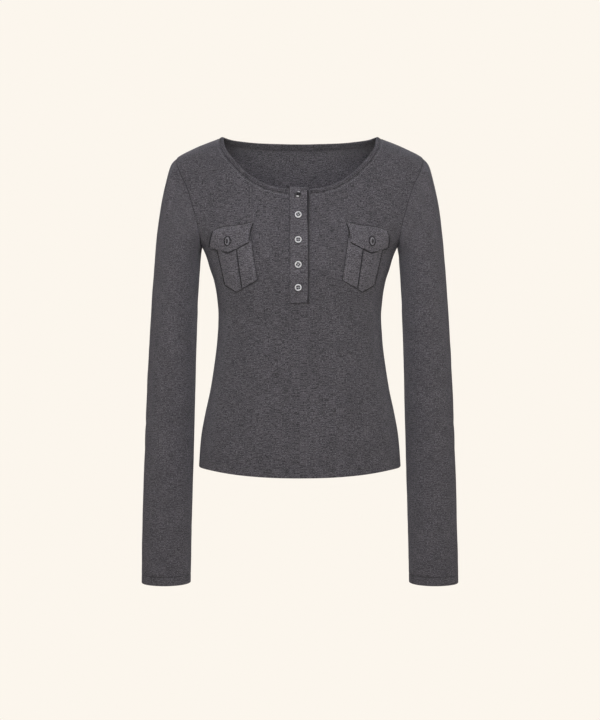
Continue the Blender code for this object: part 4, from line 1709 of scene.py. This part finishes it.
@dataclass
class Pocket:
    """Chest pocket: a bag with an inverted-V bottom and a box pleat, and a pointed flap over it."""

    cloth: BodyCloth
    reverse: Material
    side: int
    on_panel: float = 0.4
    bag_thick: float = 1.2
    flap_thick: float = 1.3
    flap_lift: float = 3.0
    stitch_in: float = 2.8
    pleat_folds: tuple = (23.6, 40.6)

    def outline(self, lines: tuple, across: Array, down: Array, soften: float) -> tuple[Array, Array]:
        """Places of a grid between the lines of a pocket piece.

        Args:
            lines: down the piece.
            across: shares of its width.
            down: shares of its depth.
            soften: share of the width over which its corners are rounded.

        Returns:
            x and z as seen from the front, for the wearer's left.
        """
        top_x = column(lines, "top_x")
        width = (top_x - top_x[0]) / (top_x[-1] - top_x[0])
        spread = np.linspace(-1.5, 1.5, 7) * soften
        weight = bell(spread, soften) / bell(spread, soften).sum()
        at = {}
        for name in PocketLine._fields:
            values = column(lines, name)
            # Beyond the ends the edge runs on straight, so that only inner corners are rounded.
            where = np.clip(across[:, None] + spread, -1, 2)
            held = np.interp(where, width, values)
            before = values[0] + (values[1] - values[0]) * where / width[1]
            last = (values[-1] - values[-2]) / (1 - width[-2])
            after = values[-1] + last * (where - 1)
            held = np.where(where < 0, before, np.where(where > 1, after, held))
            at[name] = (held * weight).sum(axis=1)
        x = at["top_x"] + (at["bottom_x"] - at["top_x"]) * down[:, None]
        z = at["top_z"] + (at["bottom_z"] - at["top_z"]) * down[:, None]
        return x, z

    def bow(self, across: Array, down: Array) -> Array:
        """How far the flap's sides bow away from the placket, at shares of its width and depth.

        On the wearer's right the far side keeps going out, to a sharper corner.

        Args:
            across: shares of its width.
            down: shares of its depth.

        Returns:
            Distances on a grid.
        """
        near = 2.2 * ease(1 - across / 0.22) * np.sin(np.pi * down)[:, None]
        far = 3.6 * np.sin(np.pi * down**0.75) if self.side > 0 else 3.2 * np.sin(np.pi / 2 * down**0.6)
        return near + far[:, None] * ease((across - 0.74) / 0.26)

    def lay(self, x: Array, z: Array, out: Array) -> Laid:
        """Lay a grid that is given for the wearer's left on the pocket's own side, rows up.

        Args:
            x: of the grid's points.
            z: of the grid's points.
            out: how far each is off the panel.

        Returns:
            The laid piece.
        """
        x, z, out = x[::-1], z[::-1], out[::-1]
        if self.side < 0:
            x, z, out = -x[:, ::-1], z[:, ::-1], out[:, ::-1]
        # slot: not used.
        return Laid(x, z, self.cloth.on_front(x, z, out))

    def from_edge(self, x: Array, z: Array) -> Array:
        """How far each point of a grid for the wearer's left lies from its nearest edge, along the body."""
        figure = self.cloth.figure
        return edge_distance(figure.point(figure.offset_at(x, z), z))

    def furrow(self, distance: Array) -> Array:
        """Depth of the furrow under the edge stitching, at a distance from the edge."""
        return 0.3 * bell(distance - self.stitch_in, 0.8)

    def cut(self, node: str, laid: Laid, thickness: float, material: Material) -> Object:
        """Pocket piece of a thickness, made from its outer face, with rounded edges."""
        inset = rounding(edge_distance(laid.grid.points), thickness * 0.5)
        return Workroom.shell(f"jersey_{node}", laid.grid, thickness, (material, self.reverse), node, inset)

    def bag(self, material: Material, node: str) -> Laid:
        """Bag: a little puffed, with a box pleat whose fold nearer the placket stands higher.

        Args:
            material: of its outer face.
            node: the solid that it stands for.

        Returns:
            Its outer face.
        """
        near, far = self.pleat_folds
        crease = tuple(fold + d for fold in (near, far) for d in (-1.2, -0.7, -0.35, 0, 0.35, 0.7, 1.2))
        wide, deep = 52.0, 77.0
        across = graded(wide, 1.3, EDGE_LINES + crease, EDGE_LINES)
        down = graded(deep, 1.4, EDGE_LINES, EDGE_LINES)
        x, z = self.outline(POCKET, across, down, soften=0.012)
        distance = self.from_edge(x, z)
        place = across * wide + 0 * down[:, None]
        pleat = 1.25 * ease((place - near + 0.35) / 0.7) * ease((far + 5.5 - place) / 7.0)
        pleat += 0.35 * ease((far + 0.4 - place) / 0.8) * ease((place - far + 6.0) / 6.0)
        pleat -= 0.5 * bell(place - near + 0.75, 0.7) + 0.3 * bell(place - far - 0.7, 0.7)
        puff = 1.1 * ease(distance / 16.0)
        out = self.on_panel + self.bag_thick + pleat * (0.35 + 0.65 * ease(distance / 7.0)) + puff
        laid = self.lay(x, z, out - self.furrow(distance))
        piece = self.cut(node, laid, self.bag_thick, material)
        return laid

    def flap(self, material: Material, node: str) -> Laid:
        """Flap: sewn down along its top, and standing off below, most at its corner near the placket.

        Args:
            material: of its outer face.
            node: the solid that it stands for.

        Returns:
            Its outer face.
        """
        across = graded(60.0, 1.3, EDGE_LINES, EDGE_LINES)
        down = graded(36.0, 1.2, EDGE_LINES, EDGE_LINES)
        x, z = self.outline(FLAP, across, down, soften=0.02)
        x = x + self.bow(across, down)
        distance = self.from_edge(x, z)
        down = down[:, None]
        stand = (self.flap_lift - self.on_panel) * ease(down / 0.3)
        corner = 1.6 * bell(across, 0.22) * down**1.5 + 0.8 * bell(across - 1, 0.2) * down**2
        out = self.on_panel + stand + corner + 0.8 * ease(distance / 9.0) + self.flap_thick
        laid = self.lay(x, z, out - self.furrow(distance))
        piece = self.cut(node, laid, self.flap_thick, material)
        return laid

    def shade(self, bag: Laid, rolls: ShadowRolls) -> None:
        """Rolls of painted shadow round the bag and the flap, and one in the pleat's fold as painted shade of
        its depth.

        Args:
            bag: its outer face.
            rolls: that take the rolls of painted shadow.
        """
        first, last = POCKET[0], POCKET[-1]
        below = [(line.bottom_x, line.bottom_z) for line in POCKET]
        near_side, far_side = [(first.top_x, first.top_z), *below], [below[-1], (last.top_x, last.top_z)]
        for corners, radius in ((near_side, 0.9), (far_side, 0.6)):
            self.roll(*inset_outline(np.array(corners), -0.3), radius, -0.2, rolls)
        fold = POCKET[1]
        share = np.linspace(0.12, 0.985, 60)
        x = fold.top_x + (fold.bottom_x - fold.top_x) * share - 0.9
        z = fold.top_z + (fold.bottom_z - fold.top_z) * share
        rolls.line(*bag.line(self.side * x, z, lift=0.0), radius=1.0, sunk=-0.05)
        self.shade_flap(bag, rolls)

    def shade_flap(self, bag: Laid, rolls: ShadowRolls) -> None:
        """Rolls of painted shadow round the flap: under its points, down both its sides, and along its top.

        Args:
            bag: its outer face.
            rolls: that take the rolls of painted shadow.
        """
        corners = [(line.bottom_x, line.bottom_z) for line in FLAP]
        x, z = inset_outline(np.array(corners), -0.5, 0.8)
        points, _ = bag.line(self.side * x, z, lift=0.0)
        on_panel = self.cloth.on_front(self.side * x, z)
        # The roll of painted shadow lies on the bag, and comes down to the panel beyond the bag's two sides.
        share = ease(np.minimum(x - 62.0, 112.0 - x) / 2.0)[:, None]
        rolls.line(points * share + on_panel.points * (1 - share), on_panel.normals, 1.35, 0.2)
        far = (-1, 0.8, 0.3) if self.side > 0 else (-1, 0.9, 0.75)
        for end, radius, beyond in ((0, 1.65, -0.5), far):
            side = self.flap_side(end, np.linspace(0.05, 1, 30))
            self.roll(side[:, 0] + beyond, side[:, 1], radius, -0.3, rolls)
        x = np.linspace(FLAP[0].top_x, FLAP[-1].top_x, 60)
        z = np.interp(x, column(FLAP, "top_x"), column(FLAP, "top_z")) + 0.3
        self.roll(x, z, 0.7, 0.0, rolls)

    def flap_side(self, end: int, share: Array) -> Array:
        """Points down a side of the flap, the one near the placket (0) or the far one (-1).

        Args:
            end: which side.
            share: of its length, from its top.

        Returns:
            x and z of the points.
        """
        line = FLAP[end]
        x = line.top_x + (line.bottom_x - line.top_x) * share + self.bow(np.array([-end]), share)[:, 0]
        return np.stack([x, line.top_z + (line.bottom_z - line.top_z) * share], axis=-1)

    def roll(self, x: Array, z: Array, radius: float, sunk: float, rolls: ShadowRolls) -> None:
        """Lay a roll of painted shadow on the panel, along a line given for the wearer's left."""
        laid = self.cloth.on_front(self.side * x, z)
        rolls.line(laid.points, laid.normals, radius, sunk)

    def stitch(self, laid: Laid, lines: tuple, thread: Stitching, top: bool) -> None:
        """Row inside the edges of a pocket piece, and along its top where it is sewn down.

        Args:
            laid: the piece's outer face.
            lines: down the piece.
            thread: that takes the rows.
            top: whether it is sewn down along its top.
        """
        first, last = lines[0], lines[-1]
        corners = [(first.top_x, first.top_z), *((line.bottom_x, line.bottom_z) for line in lines)]
        corners.append((last.top_x, last.top_z))
        if top:
            share = np.linspace(0, 1, 7)
            sides = self.flap_side(0, share), self.flap_side(-1, share[::-1])
            corners = [*sides[0], *corners[2:-2], *sides[1]]
        x, z = inset_outline(np.array(corners), self.stitch_in)
        keep = z < max(first.top_z, last.top_z) - 1.5
        thread.row(*laid.line(self.side * x[keep], z[keep]))
        if top:
            x = np.linspace(first.top_x + 2.0, last.top_x - 2.0, 60)
            z = np.interp(x, column(lines, "top_x"), column(lines, "top_z")) - 1.6
            thread.row(*laid.line(self.side * x, z))


@dataclass
class Button:
    """Four-hole button with a broad raised rim and a dished middle."""

    ring: tuple = rows_of(
        ButtonRing,
        (4.0, 0.0), (4.8, 0.25), (5.2, 0.8), (5.25, 1.25), (5.12, 1.75), (4.85, 2.1),
        (4.5, 2.27), (4.1, 2.3), (3.7, 2.22), (3.42, 2.0), (3.25, 1.7), (3.0, 1.52),
        (2.5, 1.45), (1.2, 1.4),
    )
    segments: int = 48
    hole_radius: float = 1.27
    hole_offset: float = 1.5
    hole_floor: float = 0.3
    hole_sides: int = 16
    sharp: float = math.radians(38)

    def turned(self) -> Object:
        """The button before its holes are bored: its profile turned round its axis.

        Returns:
            The blank.
        """
        turn = circle(self.segments)
        radius = column(self.ring, "radius")[:, None]
        height = column(self.ring, "height")[:, None]
        rings = np.stack([radius * np.cos(turn), radius * np.sin(turn), height + 0 * turn], axis=-1)
        index = np.arange(rings.size // 3).reshape(rings.shape[:2])
        faces = [index[0, ::-1].tolist(), *tube_walls(index).tolist(), index[-1].tolist()]
        return Workroom.item("button_blank", rings.reshape(-1, 3), faces)

    def drill(self) -> Object:
        """Four upright cutters for the holes, which end just above the back, on floors that the metal paints
        dark as shade.

        Returns:
            The cutters, as one object.
        """
        turn = circle(self.hole_sides)
        around = np.stack([np.cos(turn), np.sin(turn)], axis=-1) * self.hole_radius
        vertices, faces = [], []
        for k, way in enumerate(((1, 1), (-1, 1), (-1, -1), (1, -1))):
            middle = np.array(way) * self.hole_offset
            for height in (self.hole_floor, 5.0):
                vertices += [(*(middle + spoke), height) for spoke in around]
            index = (np.arange(2 * self.hole_sides) + 2 * self.hole_sides * k).reshape(2, -1)
            faces += [*tube_walls(index).tolist(), index[0, ::-1].tolist(), index[1].tolist()]
        return Workroom.item("button_drill", np.array(vertices), faces)

    def mesh(self) -> bpy.types.Mesh:
        """The button lying on its back at the origin, bored with its four holes.

        Returns:
            The mesh.
        """
        blank, cutter = self.turned(), self.drill()
        bore = blank.modifiers.new("holes", "BOOLEAN")
        bore.operation = "DIFFERENCE"
        bore.object = cutter
        graph = bpy.context.evaluated_depsgraph_get()
        made = bpy.data.meshes.new_from_object(blank.evaluated_get(graph))
        for item in (blank, cutter):
            bpy.data.objects.remove(item, do_unlink=True)
        return made

    def place(self, node: str, metal: Material, spot: tuple, turn: tuple, squeeze: tuple) -> None:
        """Set a button on the cloth.

        Args:
            node: the solid that it stands for.
            metal: of the button.
            spot: place of the middle of its back, and the outward direction there.
            turn: how far it is turned about its own axis, and how far its face is tipped up.
            squeeze: scale along its own axes, for a button that stands half through its hole.
        """
        middle, outward = spot
        spin, tip = turn
        across = unit(np.cross([0.0, 0.0, 1.0], outward))
        upward = np.cross(outward, across)
        facing = outward * math.cos(tip) + upward * math.sin(tip)
        upward = upward * math.cos(tip) - outward * math.sin(tip)
        right = across * math.cos(spin) + upward * math.sin(spin)
        axes = np.stack([right, np.cross(facing, right), facing])
        piece = bpy.data.objects.new(f"metal_{node}", self.mesh())
        bpy.context.scene.collection.objects.link(piece)
        places = np.empty(len(piece.data.vertices) * 3)
        piece.data.vertices.foreach_get("co", places)
        places = places.reshape(-1, 3)
        radius = np.linalg.norm(places[:, :2], axis=1)
        corners = np.empty(len(piece.data.loops), int)
        piece.data.loops.foreach_get("vertex_index", corners)
        around = places[:, :2] / np.maximum(radius, 1e-6)[:, None]
        Workroom.chart(piece, "profile", np.stack([radius, places[:, 2]], axis=-1)[corners])
        Workroom.chart(piece, "around", around[corners])
        places = (places * squeeze) @ axes + middle * MM
        piece.data.vertices.foreach_set("co", places.ravel().astype(np.float32))
        piece.data.shade_smooth()
        piece.data.set_sharp_from_angle(angle=self.sharp)
        Workroom.sew_in(piece, "button", (metal,), node)


# ---- Studio ----


@dataclass(frozen=True)
class Softbox:
    """A soft lamp: its place, its width and height, its power, whether gloss shows it, and its colour."""

    name: str
    place: tuple
    size: tuple
    power: float
    shines: bool = True
    colour: tuple = (1.0, 0.985, 0.96)
    target: tuple = (0.0, 0.0, -0.25)

    def build(self) -> None:
        """Make the lamp."""
        lamp = bpy.data.lights.new(self.name, "AREA")
        lamp.shape = "RECTANGLE"
        lamp.size, lamp.size_y = self.size
        lamp.energy = self.power
        lamp.color = self.colour
        item = bpy.data.objects.new(self.name, lamp)
        item.location = self.place
        way = Vector(self.target) - Vector(self.place)
        item.rotation_euler = way.to_track_quat("-Z", "Y").to_euler()
        item.visible_glossy = self.shines
        bpy.context.scene.collection.objects.link(item)


@dataclass
class Studio:
    """Pale floor and backdrop, soft lamps, and the camera."""

    cream: tuple = (0.973, 0.922, 0.847, 1.0)
    room: tuple = (1.0, 0.9, 1.0, 1.0)
    room_strength: float = 0.112
    floor_z: float = -1.42
    radius: float = 14.0
    elevation: float = math.radians(5)
    distance: float = 2.6
    lens: float = 88.4

    def backdrop(self) -> None:
        """Floor at the wearer's feet and a dome round it, evenly pale, which light only the camera's view."""
        material = bpy.data.materials.new("pale_paper")
        material.use_nodes = True
        nodes = material.node_tree.nodes
        nodes.clear()
        glow = nodes.new("ShaderNodeEmission")
        glow.inputs["Color"].default_value = self.cream
        output = nodes.new("ShaderNodeOutputMaterial")
        material.node_tree.links.new(glow.outputs[0], output.inputs[0])
        turn = circle(48)
        tilt = np.linspace(0, np.pi / 2, 13)[:-1, None]
        level, high = np.cos(tilt), np.sin(tilt) + 0 * turn
        dome = np.stack([level * np.cos(turn), level * np.sin(turn), high], axis=-1)
        dome = dome * self.radius / MM + [0, 0, self.floor_z / MM]
        index = np.arange(dome.size // 3).reshape(dome.shape[:2])
        # The dome is seen from inside, so its walls are turned round.
        walls = tube_walls(index)[:, [0, 3, 2, 1]].tolist()
        for name, faces in (("backdrop", [*walls, index[-1].tolist()]), ("floor", [index[0].tolist()])):
            item = Workroom.item(name, dome.reshape(-1, 3), faces)
            item.data.materials.append(material)
            for ray in ("diffuse", "glossy", "transmission", "shadow"):
                setattr(item, f"visible_{ray}", False)

    def light(self) -> None:
        """Dim room light, with soft lamps before, above, beside and behind the top, all facing its chest."""
        world = bpy.data.worlds.new("room")
        world.use_nodes = True
        background = world.node_tree.nodes["Background"]
        background.inputs["Color"].default_value = self.room
        background.inputs["Strength"].default_value = self.room_strength
        bpy.context.scene.world = world
        for lamp in (
            Softbox("key", (0.0, -1.95, 0.85), (3.0, 2.0), 6.8),
            Softbox("front", (0.0, -1.3, 0.05), (0.9, 0.8), 11.7, shines=False, colour=(0.99, 1.0, 0.955)),
            Softbox("above", (0.0, -1.2, 0.5), (0.9, 0.8), 4.9, shines=False, colour=(0.64, 0.69, 1.0)),
            Softbox("left", (2.3, -0.6, -0.1), (1.2, 1.2), 9.2, shines=False, colour=(1.0, 0.98, 0.84)),
            Softbox("right", (-2.3, -0.6, -0.1), (1.2, 1.2), 8.3, shines=False, colour=(1.0, 0.99, 0.88)),
            Softbox("behind", (0.0, 2.8, 0.9), (2.6, 1.6), 30.0),
        ):
            lamp.build()

    def camera(self) -> None:
        """Camera before the top, a little above its middle and looking slightly down."""
        low, high = (Vector(corner) for corner in CAD_BOX)
        target = Vector((0.0003, 0.0, (low.z + high.z) / 2 + 0.0024))
        back = Vector((0.0, -math.cos(self.elevation), math.sin(self.elevation)))
        data = bpy.data.cameras.new("camera")
        data.lens = self.lens
        item = bpy.data.objects.new("camera", data)
        item.location = target + back * self.distance
        item.rotation_euler = Euler((math.pi / 2 - self.elevation, 0.0, 0.0))
        bpy.context.scene.collection.objects.link(item)
        bpy.context.scene.camera = item
        bpy.context.scene.view_settings.view_transform = "Standard"


# ---- The whole top ----


@dataclass
class Top:
    """The whole garment, built piece by piece. Its rolls of painted shadow along seams, edges and buttons are
    gathered as it goes.
    """

    cloth: BodyCloth = field(default_factory=lambda: BodyCloth(Figure()))
    # The reverse is painted lighter than the outer cloth, as painted light inside the neck.
    reverse: Material = field(
        default_factory=Jersey(name="charcoal_jersey_reverse", tone=1.29, spread=0.72).build
    )
    thread: Material = field(default_factory=Thread().build)
    rolls: ShadowRolls = field(default_factory=lambda: ShadowRolls("jersey_painted_shadow_rolls"))
    seam_shadow_roll: float = 0.65
    armhole_shadow_from: float = -134.0

    def build(self) -> None:
        """Make every piece."""
        front = Panel(self.cloth, self.reverse, Face.FRONT, FRONT_NECK, 0.3, SLOT_BOTTOM, flat_area=0.160)
        back = Panel(self.cloth, self.reverse, Face.BACK, BACK_NECK, centre_share=0.5)
        jersey = Jersey().build()
        front.build(jersey, "front")
        back.build(jersey, "back")
        self.set_sleeves(front, back)
        self.bind_neck(front, back)
        over = self.lay_placket()
        self.add_pockets()
        self.button_up(over)
        # The rolls' thread is near-black: painted shadow.
        shadow = Thread("charcoal_painted_shadow", (0.012, 0.011, 0.012, 1.0), (0.022, 0.020, 0.022, 1.0))
        self.rolls.build(shadow.build())

    def set_sleeves(self, front: Panel, back: Panel) -> None:
        """Both sleeves, the rolls of painted shadow in the seams and along the cuff stitching, and the
        stitching of the cuffs and the hem.

        Args:
            front: the front panel.
            back: the back panel.
        """
        # The sleeves' cloth is painted lighter than the body's, as painted light on them.
        material = Jersey(name="charcoal_jersey_sleeve", tone=1.11, spread=0.61).build()
        rows = Stitching("hem_stitching")
        for side, node in ((1, "sleeve_left"), (-1, "sleeve_right")):
            sleeve = Sleeve(front, back, self.reverse, side)
            grid = sleeve.build(material, node)
            level = int(np.argmin(np.abs(sleeve.from_cuff.mean(axis=1) - STITCH_LEVEL)))
            ring, outward = (np.concatenate([part[level], part[level, :1]]) for part in grid[:2])
            rows.row(ring, outward)
            # A roll of painted shadow along the furrow of the cuff stitching.
            self.rolls.line(ring, outward, radius=0.46)
            points, normals = sleeve.armhole()
            mirror = np.array([side, 1.0, 1.0])
            # Painted shadow along the armhole seam, left out low round the underarm.
            over = points[:, 2] > self.armhole_shadow_from
            self.rolls.line(points[over] * mirror, normals[over] * mirror, self.seam_shadow_roll, sunk=1.0)
            # Painted shadow along the side seam and the shoulder seam.
            for low, high in ((HEM_Z + 1.0, UNDERARM.z), (SHOULDER_POINT.z, FRONT_NECK[-1].z)):
                z = np.linspace(low, high, round((high - low) / 2.5))
                seam = self.cloth.lay(0 * z + side * math.pi / 2, z)
                self.rolls.line(seam.points, seam.normals, self.seam_shadow_roll, sunk=1.05)
        angle = np.linspace(-math.pi / 2, 1.5 * math.pi, 600)
        laid = self.cloth.lay(angle, 0 * angle + HEM_Z + STITCH_LEVEL, -0.28)
        rows.row(laid.points, laid.normals)
        # The hem and cuff thread is painted darker than the rest, as shade in the furrow it lies in.
        thread_in_painted_shade = Thread("charcoal_hem_thread", (0.035, 0.033, 0.036, 1.0), (0.07, 0.066, 0.071, 1.0))
        rows.build(thread_in_painted_shade.build())

    def bind_neck(self, front: Panel, back: Panel) -> None:
        """Neck binding, the tape inside it, and its seam, with a roll of painted shadow along it.

        Args:
            front: the front panel.
            back: the back panel.
        """
        neck = NeckBinding(front, back, self.reverse)
        # The rib is painted a little darker than the body, as painted shade.
        neck.build(Jersey(name="charcoal_rib", tone=0.93, relief=0.7).build(), "neck_binding")
        # The tape's cloth is painted darker than the reverse, as shade inside the back neck.
        neck.tape(Jersey(name="charcoal_tape", tone=0.96).build())
        # A roll of painted shadow along the binding's seam.
        self.rolls.line(*neck.stitch_line(-0.1, 0.0), radius=0.7, sunk=0.35)
        rows = Stitching("neck_stitching")
        rows.row(*neck.stitch_line(3.2, 0.05))
        rows.build(self.thread)

    def lay_placket(self) -> Laid:
        """Placket with its facing and stitching.

        Returns:
            Its upper band's outer face.
        """
        placket = Placket(self.cloth, self.reverse)
        # The upper band is painted lighter than the body, as painted light on the band that stands proud.
        over = placket.build(Jersey(name="charcoal_jersey_upright", tone=1.14).build())
        # The facing strip is painted dark, as the shadow beside the free edge.
        placket.facing(Jersey(name="charcoal_facing_painted_shadow", tone=0.8).build())
        rows = Stitching("placket_stitching")
        placket.stitch(over, rows)
        thread = Thread("charcoal_placket_thread", (0.055, 0.052, 0.056, 1.0), (0.12, 0.114, 0.12, 1.0))
        rows.build(thread.build())
        placket.shade(self.rolls)
        return over

    def add_pockets(self) -> None:
        """Both pockets with their flaps, buttons and stitching."""
        # Flaps and bags are painted lighter than the body, as painted light on pieces that stand proud.
        flaps = Jersey(name="charcoal_jersey_flap", tone=1.29).build()
        bags = Jersey(name="charcoal_jersey_pocket", tone=1.3).build()
        rows = Stitching("pocket_stitching")
        for side, name in ((1, "left"), (-1, "right")):
            pocket = Pocket(self.cloth, self.reverse, side)
            bag = pocket.bag(bags, f"pocket_{name}")
            flap = pocket.flap(flaps, f"flap_{name}")
            pocket.stitch(bag, POCKET, rows, top=False)
            pocket.stitch(flap, FLAP, rows, top=True)
            pocket.shade(bag, self.rolls)
            self.fasten(f"pocket_button_{name}", flap, side)
        rows.build(self.thread)

    def button_up(self, over: Laid) -> None:
        """Set the five buttons on the placket, each lower one with a thin roll of painted shadow round it.
        The top one has tipped up; its shade is painted into its metal, bright only in painted glints.

        Args:
            over: the placket's upper band.
        """
        turn = np.linspace(0, 2 * np.pi, 60)
        metal = PolishedMetal().build()
        # The top button is painted near-black as shade, its rim bright only in painted glints at top and
        # bottom.
        dark = PolishedMetal("painted_shade_nickel", middle=(0.085, 0.082, 0.085, 1.0), glint=True).build()
        radius = 5.5
        # How far each is turned and tipped, and how much higher it lies than its solid.
        turns = (
            (-0.2, 0.32, -2.4),
            (0.5, 0.0, -1.8),
            (0.02, 0.0, -1.7),
            (-0.6, 0.05, -0.6),
            (0.12, 0.22, 0.8),
        )
        for number, (spin, tip, higher) in enumerate(turns, 1):
            node = f"placket_button_{number}"
            spot = self.spot(node, over, 0.15 + 4.0 * tip, (-1.2, higher))
            Button().place(node, dark if number == 1 else metal, spot, (spin, tip), (0.92, 0.92, 1.0))
            # A thin roll of painted shadow round each lower button, where it sits on the band.
            if number > 1:
                x, z = spot[0][0] + radius * np.cos(turn), spot[0][2] + radius * np.sin(turn)
                self.rolls.line(*over.line(x, z), radius=0.34, sunk=0.05)

    @staticmethod
    def spot(node: str, laid: Laid, lift: float, off: tuple) -> tuple[Array, Array]:
        """Place and outward direction on a laid piece's face, near the middle of a solid.

        Args:
            node: the solid.
            laid: the piece.
            lift: how far off its face.
            off: how far across and up from the middle of the solid.

        Returns:
            The place and the direction.
        """
        low, high = (np.array(corner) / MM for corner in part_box(node))
        middle = (low + high) / 2
        points, normals = laid.line(middle[:1] + off[0], middle[2:] + off[1], lift)
        return points[0], normals[0]

    def fasten(self, node: str, flap: Laid, side: int) -> None:
        """Set a button edgeways in its hole in a flap, painted dark as shade, with a roll of painted shadow
        round the hole.

        Args:
            node: the button's solid.
            flap: the flap's outer face.
            side: 1 for the wearer's left, -1 for the right.
        """
        # The button sunk in its hole is painted as shade: a grey rim and a near-black middle.
        rim, middle = (0.30, 0.288, 0.30, 1.0), (0.02, 0.02, 0.02, 1.0)
        metal = PolishedMetal("shaded_nickel", rim, middle, metallic=0.1).build()
        point, outward = self.spot(node, flap, -0.5, (-1.7 * side, -0.3))
        lean = 0.12 * side
        Button().place(node, metal, (point, outward), (lean, 0.0), (0.57, 0.97, 0.7))
        turn = np.linspace(0, 2 * np.pi, 60)
        across, up = 4.4 * np.cos(turn), 6.8 * np.sin(turn)
        x = point[0] + across * math.cos(lean) - up * math.sin(lean)
        z = point[2] + across * math.sin(lean) + up * math.cos(lean)
        # A roll of painted shadow round the hole.
        self.rolls.line(*flap.line(x, z, lift=0.0), radius=0.8, sunk=-0.25)


def main() -> None:
    """Build the studio and the top."""
    logging.basicConfig(level=logging.INFO, format="%(message)s", stream=sys.stdout)
    studio = Studio()
    studio.camera()
    studio.backdrop()
    studio.light()
    Top().build()


if __name__ == "__main__":
    main()
